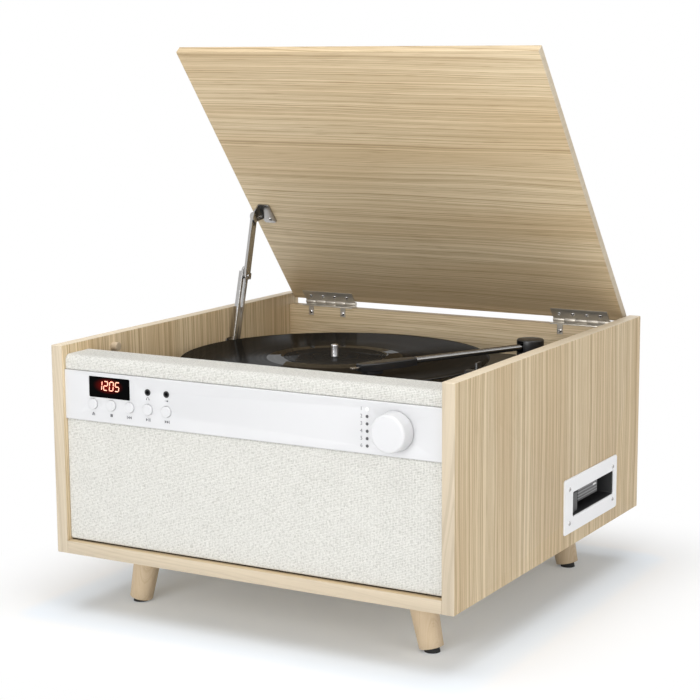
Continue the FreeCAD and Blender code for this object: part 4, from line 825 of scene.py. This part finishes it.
class PLAYER_OT_turntable(bpy.types.Operator):
    """Finish the deck and platter and lay the grooved record on it"""
    bl_idname = "player.turntable"
    bl_label = "Turntable"

    LABEL, HOLE, LAND = 50.0 * MM, 3.65 * MM, 54.0 * MM
    RUN_OUT, LEAD_IN = 66.0 * MM, 146.5 * MM
    BEAD, RELIEF, RISE = 3.0 * MM, 0.4 * MM, 0.3 * MM
    SPEEDS, SPEED_STEP, SPEED_REACH, SPEED_SIZE = ("33", "45", "78"), 25, 27 * MM, 5 * MM

    def vinyl(self):
        """Black with fine grooves, plain gaps between tracks, a glossy run-out and a satin label."""
        tones = look("metal")
        finish = Finish("record_vinyl", Specular_IOR_Level=0.0, Roughness=0.6)
        x, y, _ = finish.axes(finish.spot(centre=SPINDLE))
        radius = x.hypot(y)
        label = 1 - radius.smooth(self.LABEL - 0.3 * MM, self.LABEL + 0.1 * MM)
        cut = (radius * (math.tau / tones.groove)).math("SINE")
        jitter = finish.line_noise(radius * 900, 3.0, 0.5)
        tracks = finish.line_noise(radius * 85 + 3.0, 0.0, 0.5)
        gap = 1 - ((tracks - 0.5) * 14).math("ABSOLUTE").smooth(0.15, 0.55)
        run_out = 1 - radius.smooth(self.RUN_OUT, self.RUN_OUT + 0.5 * MM)
        lead_in = radius.smooth(self.LEAD_IN, self.LEAD_IN + 0.5 * MM)
        plain = (gap * 0.8 + run_out + lead_in).math("MINIMUM", 1)
        relief = finish.bump((cut * 0.35 + jitter) * (1 - plain) * (1 - label), 0.02 * MM, 0.35)
        paper = finish.noise(finish.spot(), 700, 3.0)
        shade = finish.mix(paper * 0.3, tones.label, scaled(tones.label, 1.5))
        rough = 0.12 - run_out * 0.09 + label * 0.05
        shine = finish.add("ShaderNodeBsdfGlossy", {},
                           {"Color": (1, 1, 1), "Normal": relief, "Roughness": rough})
        finish.overlay(0.05 + jitter * 0.03 + gap * 0.02 + run_out * 0.09 - label * 0.12, shine)
        return finish.feed(Base_Color=finish.mix(label, tones.vinyl, shade), Normal=relief)

    def record(self):
        """A pressed record: a rounded rim, sunk grooves, a raised land and a raised label."""
        low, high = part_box("record")
        rim, face = (high.x - low.x) / 2, high.z - self.RISE
        sunk = face - self.RELIEF
        waist, half = (low.z + face) / 2, (face - low.z) / 2
        turns = [math.pi * (step / 10 - 0.5) for step in range(11)]
        edge = [(rim - self.BEAD * (1 - math.cos(turn)), waist + half * math.sin(turn)) for turn in turns]
        profile = [(self.HOLE, low.z), (self.LAND, low.z), *edge, (rim - 2 * self.BEAD, sunk),
                   (self.LAND + self.BEAD, sunk), (self.LAND, face), (self.LABEL + 0.4 * MM, face),
                   (self.LABEL, high.z), (self.HOLE + 0.5 * MM, high.z), (self.HOLE, face)]
        centre = Vector((SPINDLE.x, SPINDLE.y, 0))
        mesh = mesh_of("vinyl_record", lambda work: lathe(work, profile, centre, 240))
        smooth_faces(mesh, 40)
        new_piece("vinyl_record", mesh, self.vinyl(), "platter", ["record"])

    def speed_marks(self, work):
        centre = Vector((SPEED_PIVOT.x, SPEED_PIVOT.y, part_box("deck_plate")[1].z))
        for index, text in enumerate(self.SPEEDS):
            turn = Matrix.Rotation(math.radians(self.SPEED_STEP * (index - 1)), 3, "Z")
            spot = centre + turn @ Vector((0, -self.SPEED_REACH, 0))
            digits(work, text, self.SPEED_SIZE, Matrix.Translation(spot))

    def execute(self, context):
        self.record()
        trim, tones = look("trim"), look("metal")
        dress(["deck_plate", "speed_lever"], plastic("deck_plastic", trim.black, 0.42, 0.48, 500), 0.3)
        alloy = metal("turned_alloy", (0.55, 0.55, 0.56), 0.3, (60, 60, 900))
        dress(["platter", "motor_pulley"], alloy, 0.2)
        felt = fibrous("mat_felt", 0.015, 0.05, 1200, 0.3 * MM, 0.6, Roughness=0.95, Sheen_Weight=0.3)
        dress(["slip_mat"], felt)
        dress(["platter_bearing", "motor"], metal("bearing_steel", tones.steel, 0.35, (90, 90, 900)), 0.2)
        dress(["drive_belt"], soft_rubber("belt_rubber", (0.010, 0.010, 0.010)))
        ink = plastic("deck_ink", (0.6, 0.6, 0.6), 0.6)
        new_piece("speed_marks", mesh_of("speed_marks", self.speed_marks), ink, "cabinet")
        return {"FINISHED"}


class PLAYER_OT_tonearm(bpy.types.Operator):
    """Finish the tonearm, its housing and its rest"""
    bl_idname = "player.tonearm"
    bl_label = "Tonearm"

    def execute(self, context):
        dress(["tonearm_tube"], metal("arm_tube", (0.20, 0.195, 0.19), 0.24, 300), 0.2)
        black = plastic("arm_plastic", look("trim").black, 0.3, 0.24)
        dress(["tonearm_base", "tonearm_gimbal", "headshell", "arm_rest"], black, 0.4)
        dress(["cartridge"], plastic("cartridge_plastic", (0.02, 0.02, 0.022), 0.25), 0.2)
        dress(["finger_lift"], metal("lift_metal", look("metal").bright, 0.2, 200), 0.2)
        return {"FINISHED"}


class PLAYER_OT_tape(bpy.types.Operator):
    """Finish the tape slot, its flap, its eject button and its reel hubs"""
    bl_idname = "player.tape"
    bl_label = "Tape slot"

    RIB, RIM = 3.0 * MM, 2.2 * MM
    MARK_WIDE, MARK_HIGH = 7.2 * MM, 1.8 * MM
    MARK_OUT, MARK_ALONG, MARK_DOWN = 0.8 * MM, 65 * MM, 6 * MM

    def ribbed(self, trim, low, high):
        """Grey plastic with level ribs and a black rim, with painted highlight on the rib crests and
        painted shade in the troughs.
        """
        flap = Finish("flap_plastic", Roughness=0.42)
        _, along, level = flap.axes(flap.spot(centre=middle((low, high))))
        rib = (level * (math.tau / self.RIB)).math("SINE")
        beside = along.math("ABSOLUTE") - (high.y - low.y) / 2
        above = level.math("ABSOLUTE") - (high.z - low.z) / 2
        rim = beside.math("MAXIMUM", above).smooth(-self.RIM, 0.8 * MM - self.RIM)
        speck = flap.noise(flap.spot(), (500, 1200, 1200), 3.0)
        relief = rib * 0.4 + speck
        # Painted highlight and shade: the rib relief makes crests lighter and troughs darker; the speckle
        # in it is the plastic's own tone
        tint = flap.mix(relief.smooth(0.2, 0.9), trim.grey, scaled(trim.grey, 4.2))
        return flap.feed(Base_Color=flap.mix(rim, tint, trim.black),
                         Normal=flap.bump(relief, 0.3 * MM, 0.6))

    def execute(self, context):
        trim = look("trim")
        low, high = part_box("tape_flap")
        dress(["tape_bezel"], plastic("tape_bezel_plastic", scaled(trim.white, 1.4), 0.36), 0.2)
        well = plastic("well_plastic", trim.black, 0.45)
        dress(["tape_well", "outer_reel_hub", "inner_reel_hub"], well, 0.2)
        dress(["tape_flap"], self.ribbed(trim, low, high), 0.1)
        dress(["eject_button"], plastic("eject_plastic", trim.grey, 0.45, 0.8), 0.1)
        spot = (middle((low, high)).x + self.MARK_OUT, low.y + self.MARK_ALONG, high.z - self.MARK_DOWN)
        place = Matrix.Translation(spot) @ FACING_RIGHT
        mark = bar(-self.MARK_WIDE / 2, self.MARK_WIDE, -self.MARK_HIGH / 2, self.MARK_HIGH / 2)
        mesh = mesh_of("flap_mark", lambda work: raised(work, mark, place, INK))
        new_piece("flap_mark", mesh, plastic("flap_ink", (0.8, 0.8, 0.8), 0.5), "flap")
        return {"FINISHED"}


class PLAYER_OT_disc(bpy.types.Operator):
    """Finish the disc tray, its bezel and its drive"""
    bl_idname = "player.disc"
    bl_label = "Disc tray"

    def execute(self, context):
        trim = look("trim")
        dress(["disc_bezel", "disc_tray"], plastic("tray_plastic", trim.white, 0.36), 0.3)
        dress(["disc_drive"], metal("drive_tin", (0.5, 0.5, 0.5), 0.35, (40, 900, 900)), 0.2)
        dress(["disc_chuck"], plastic("chuck_plastic", trim.black, 0.35), 0.2)
        return {"FINISHED"}


class PLAYER_OT_lid(bpy.types.Operator):
    """Veneer the lid and plate its hinges and stay"""
    bl_idname = "player.lid"
    bl_label = "Lid and stay"

    def execute(self, context):
        ends = [(0, corner.x, 1.1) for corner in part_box("lid_panel")]
        lid = veneer("lid_veneer", (LID_ANGLE, 0, 0), centre=LID_PIN, pith=(-0.62, 0.1), tilt=0.05,
                     sway=0.03, edges=ends)
        dress(["lid_panel"], lid, 0.4)
        leaf = metal("hinge_plating", (0.56, 0.52, 0.455), 0.40, 400, level=0.75)
        dress(["hinge_back_leaves", "hinge_lid_leaves"], leaf, 0.2)
        plated = metal("stay_plating", scaled(look("metal").bright, 0.78), 0.24, 400)
        dress(["stay_bracket", "stay_upper_arm", "stay_lower_arm", "stay_wall_plate"], plated, 0.2)
        return {"FINISHED"}


class PLAYER_OT_screws(bpy.types.Operator):
    """Set cross-slotted screws where the solids have their screws"""
    bl_idname = "player.screws"
    bl_label = "Screws"

    SIZES = {"Head Radius": 2.2 * MM, "Head Height": 1.0 * MM, "Slot Width": 0.7 * MM}
    LID_SINK, SLOT_REACH, SEED = 0.45 * MM, 1.25, 7

    def tree(self):
        """Domed heads with a cross slot, one on each point, turned at random by a fixed seed."""
        tree = bpy.data.node_groups.new("screw_heads", "GeometryNodeTree")
        for name, kind in (("Points", "Geometry"), ("Head Radius", "Float"), ("Head Height", "Float"),
                           ("Slot Width", "Float"), ("Plating", "Material")):
            tree.interface.new_socket(name=name, in_out="INPUT", socket_type="NodeSocket" + kind)
        tree.interface.new_socket(name="Screws", in_out="OUTPUT", socket_type="NodeSocketGeometry")
        graph = Graph(tree)
        inputs = graph.outputs("NodeGroupInput")
        radius, height, slot = (inputs[name] for name in self.SIZES)
        dome = graph.add("GeometryNodeMeshUVSphere", {}, {"Segments": 24, "Rings": 12, "Radius": 1.0})
        scale = graph.vector(radius, radius, height)
        head = graph.add("GeometryNodeTransform", {}, {"Geometry": dome, "Scale": scale})
        cross = graph.add("GeometryNodeMeshBoolean", {"operation": "UNION"})
        for wide, deep in ((radius * self.SLOT_REACH, slot), (slot, radius * self.SLOT_REACH)):
            cube = graph.add("GeometryNodeMeshCube", {}, {"Size": graph.vector(wide, deep, height)})
            lifted = graph.add("GeometryNodeTransform", {},
                               {"Geometry": cube, "Translation": graph.vector(0, 0, height)})
            graph.join(lifted, cross.socket.node.inputs["Mesh 2"])
        cut = graph.add("GeometryNodeMeshBoolean", {"operation": "DIFFERENCE"},
                        {"Mesh 1": head, "Mesh 2": cross})
        aim = graph.add("GeometryNodeInputNamedAttribute", {"data_type": "FLOAT_VECTOR"}, {"Name": "aim"})
        facing = graph.add("FunctionNodeAlignRotationToVector", {"axis": "Z"}, {"Vector": aim})
        spin = graph.add("FunctionNodeRandomValue", {"data_type": "FLOAT"},
                         {"Max": math.pi, "Seed": self.SEED}, out=1)
        spun = graph.add("FunctionNodeEulerToRotation", {}, {0: graph.vector(0, 0, spin)})
        turned = graph.add("FunctionNodeRotateRotation", {"rotation_space": "LOCAL"}, {0: facing, 1: spun})
        placed = graph.add("GeometryNodeInstanceOnPoints", {},
                           {"Points": inputs["Points"], "Instance": cut, "Rotation": turned})
        real = graph.add("GeometryNodeRealizeInstances", {}, {0: placed})
        plated = graph.add("GeometryNodeSetMaterial", {}, {"Geometry": real, "Material": inputs["Plating"]})
        graph.add("NodeGroupOutput", {}, {0: plated})
        return tree

    def heads(self, name, tree, seats, material, body, replaced):
        """One mesh of screws for a body, from (place, direction) seats."""
        points = bpy.data.meshes.new(name + "_points")
        points.from_pydata([tuple(place) for place, _ in seats], [], [])
        aim = points.attributes.new("aim", "FLOAT_VECTOR", "POINT")
        for item, (_, direction) in zip(aim.data, seats):
            item.vector = direction
        holder = link(name + "_points", points)
        maker = holder.modifiers.new("screws", "NODES")
        maker.node_group = tree
        values = {**self.SIZES, "Plating": material}
        for item in tree.interface.items_tree:
            if item.name in values:
                maker[item.identifier] = values[item.name]
        mesh = evaluated_mesh(holder)
        mesh.name = name
        smooth_faces(mesh, 35)
        new_piece(name, mesh, material, body, replaced)

    def cabinet_seats(self):
        """Screws that are thin along X sit in the right side, and the others in the back."""
        seats = []
        for low, high in islands("cabinet_screws"):
            spot = middle((low, high))
            if high.x - low.x < high.y - low.y:
                seats.append((Vector((low.x, spot.y, spot.z)), Vector((1, 0, 0))))
            else:
                seats.append((Vector((spot.x, high.y, spot.z)), Vector((0, -1, 0))))
        return seats

    def execute(self, context):
        tree = self.tree()
        plated = metal("screw_plating", look("metal").bright, 0.22, 300)
        self.heads("cabinet_screw_heads", tree, self.cabinet_seats(), plated, "cabinet", ["cabinet_screws"])
        down = Matrix.Rotation(-LID_ANGLE, 3, "X") @ Vector((0, 0, -1))
        seats = [(middle(corners) - down * self.LID_SINK, down) for corners in islands("lid_screws")]
        self.heads("lid_screw_heads", tree, seats, plated, "lid", ["lid_screws"])
        return {"FINISHED"}


class PLAYER_OT_inside(bpy.types.Operator):
    """Finish the sockets, boards and speakers"""
    bl_idname = "player.inside"
    bl_label = "Sockets and inside"

    CORE, CORE_DEPTH = 4.3 * MM, 4.1 * MM

    def socket_plastic(self, trim):
        """Black sockets, of which the first has a red core."""
        first = min(map(middle, islands("back_sockets")), key=lambda spot: spot.x)
        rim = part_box("back_sockets")[1].y
        finish = Finish("socket_plastic", Roughness=0.35)
        across, along, level = finish.axes(finish.spot(centre=first))
        inside = 1 - across.hypot(level).smooth(self.CORE, self.CORE + 0.3 * MM)
        outer = (along + first.y - rim).smooth(-self.CORE_DEPTH, 0.4 * MM - self.CORE_DEPTH)
        speck = finish.noise(finish.spot(), 800)
        black = finish.mix(speck * 0.3, trim.black, trim.grey)
        return finish.feed(Base_Color=finish.mix(inside * outer, black, (0.45, 0.03, 0.03)))

    def execute(self, context):
        dress(["back_sockets"], self.socket_plastic(look("trim")), 0.1)
        board = Finish("circuit_board", Roughness=0.4)
        tracks = board.noise(board.spot(), 160, 1.0).smooth(0.48, 0.52)
        board.feed(Base_Color=board.mix(tracks, (0.02, 0.11, 0.04), (0.03, 0.17, 0.07)))
        dress(["circuit_boards"], board.material)
        dress(["speaker_frames"], metal("frame_steel", look("metal").steel, 0.4, 90))
        dress(["speaker_cones"], fibrous("cone_paper", 0.02, 0.06, 500, 0.1 * MM, 0.5, Roughness=0.85))
        return {"FINISHED"}


class PLAYER_OT_stage(bpy.types.Operator):
    """Set the floor, lamps, sky and camera"""
    bl_idname = "player.stage"
    bl_label = "Stage"

    # Place, width and power of each lamp
    LAMPS = {
        "key_lamp": ((0.3, -2.4, 1.0), 1.6, 21),
        "low_lamp": ((-0.3, -2.5, 0.35), 1.2, 19),
        "fill_lamp": ((2.3, -0.8, 1.1), 1.8, 19),
        "top_lamp": ((0.1, -0.3, 2.6), 2.4, 44),
    }
    AIM = Vector((0, 0, 0.2))
    FLOOR_RADIUS, FADE, FLOOR_GLOW = 9, 0.17, 0.1

    def floor(self, tones):
        """A pale floor that fades to plain white away from the object and keeps its shadow, with a bluish
        tint painted beneath and near the object that cools that shadow.
        """
        mesh = mesh_of("floor", lambda work: bmesh.ops.create_circle(work, cap_ends=True, segments=96,
                                                                      radius=self.FLOOR_RADIUS))
        plane = link("floor", mesh)
        finish = Finish("floor_paper", Roughness=0.9, Specular_IOR_Level=0.0)
        low, high = CAD_BOX
        sides = []
        for axis, place in enumerate(finish.axes(finish.spot())[:2]):
            beyond = (low[axis] - place).math("MAXIMUM", place - high[axis])
            sides.append(beyond.math("MAXIMUM", 0))
        far = sides[0].hypot(sides[1]).smooth(0.0, self.FADE)
        # Painted shadow tint: beneath and near the object the floor takes the bluish shade colour, against
        # the brown bounce in its shadow
        finish.feed(Base_Color=finish.mix(far.smooth(0.0, 0.1), tones.shade, tones.floor))
        white = finish.add("ShaderNodeEmission", {}, {"Color": (1, 1, 1), "Strength": 1.0})
        finish.overlay((far * (1 - self.FLOOR_GLOW) + self.FLOOR_GLOW) * finish.seen(), white)
        mesh.materials.append(finish.material)

    def lamp(self, name, place, size, power):
        light = bpy.data.lights.new(name, "AREA")
        light.shape = "DISK"
        light.size = size
        light.energy = power
        holder = link(name, light)
        holder.location = place
        holder.rotation_mode = "QUATERNION"
        holder.rotation_quaternion = (self.AIM - Vector(place)).to_track_quat("-Z", "Y")

    def sky(self, level):
        """Even light, shown as plain white where it is seen, reflected or looked through."""
        world = bpy.data.worlds.new("studio")
        bpy.context.scene.world = world
        world.use_nodes = True
        world.node_tree.nodes.clear()
        graph = Graph(world.node_tree)
        strength = graph.seen() * (1 - level) + level
        back = graph.add("ShaderNodeBackground", {}, {"Color": (1, 1, 1), "Strength": strength})
        graph.add("ShaderNodeOutputWorld", {}, {"Surface": back})

    def camera(self, tones):
        data = bpy.data.cameras.new("camera")
        data.sensor_width = 36
        data.lens = tones.lens
        holder = link("camera", data)
        holder.location = tones.eye
        flat, rise = math.cos(tones.height), math.sin(tones.height)
        back = Vector((math.sin(tones.heading) * flat, -math.cos(tones.heading) * flat, rise))
        holder.rotation_mode = "QUATERNION"
        holder.rotation_quaternion = (-back).to_track_quat("-Z", "Y") @ Quaternion((0, 0, 1), tones.roll)
        bpy.context.scene.camera = holder

    def execute(self, context):
        tones = look("stage")
        self.floor(tones)
        for name, (place, size, power) in self.LAMPS.items():
            self.lamp(name, place, size, power)
        self.sky(tones.sky)
        self.camera(tones)
        bpy.context.scene.view_settings.view_transform = "Standard"
        return {"FINISHED"}


class PLAYER_PT_pieces(bpy.types.Panel):
    """The pieces of the record player, in the order in which they are made"""
    bl_idname = "PLAYER_PT_pieces"
    bl_label = "Record player"
    bl_space_type = "VIEW_3D"
    bl_region_type = "UI"
    bl_category = "Player"

    def draw(self, context):
        for operator in OPERATORS:
            self.layout.operator(operator.bl_idname)


LOOKS = {"stage": StageLook, "wood": WoodLook, "cloth": ClothLook, "trim": TrimLook, "metal": MetalLook}
OPERATORS = (PLAYER_OT_cabinet, PLAYER_OT_grille, PLAYER_OT_strip, PLAYER_OT_display, PLAYER_OT_turntable,
             PLAYER_OT_tonearm, PLAYER_OT_tape, PLAYER_OT_disc, PLAYER_OT_lid, PLAYER_OT_screws,
             PLAYER_OT_inside, PLAYER_OT_stage)
CLASSES = (*LOOKS.values(), *OPERATORS, PLAYER_PT_pieces)


def register():
    for each in CLASSES:
        bpy.utils.register_class(each)
    for name, each in LOOKS.items():
        setattr(bpy.types.Scene, "player_" + name, PointerProperty(type=each))


def unregister():
    for name in LOOKS:
        delattr(bpy.types.Scene, "player_" + name)
    for each in reversed(CLASSES):
        bpy.utils.unregister_class(each)


def main():
    register()
    for operator in OPERATORS:
        group, name = operator.bl_idname.split(".")
        getattr(getattr(bpy.ops, group), name)()


if __name__ == "__main__":
    main()
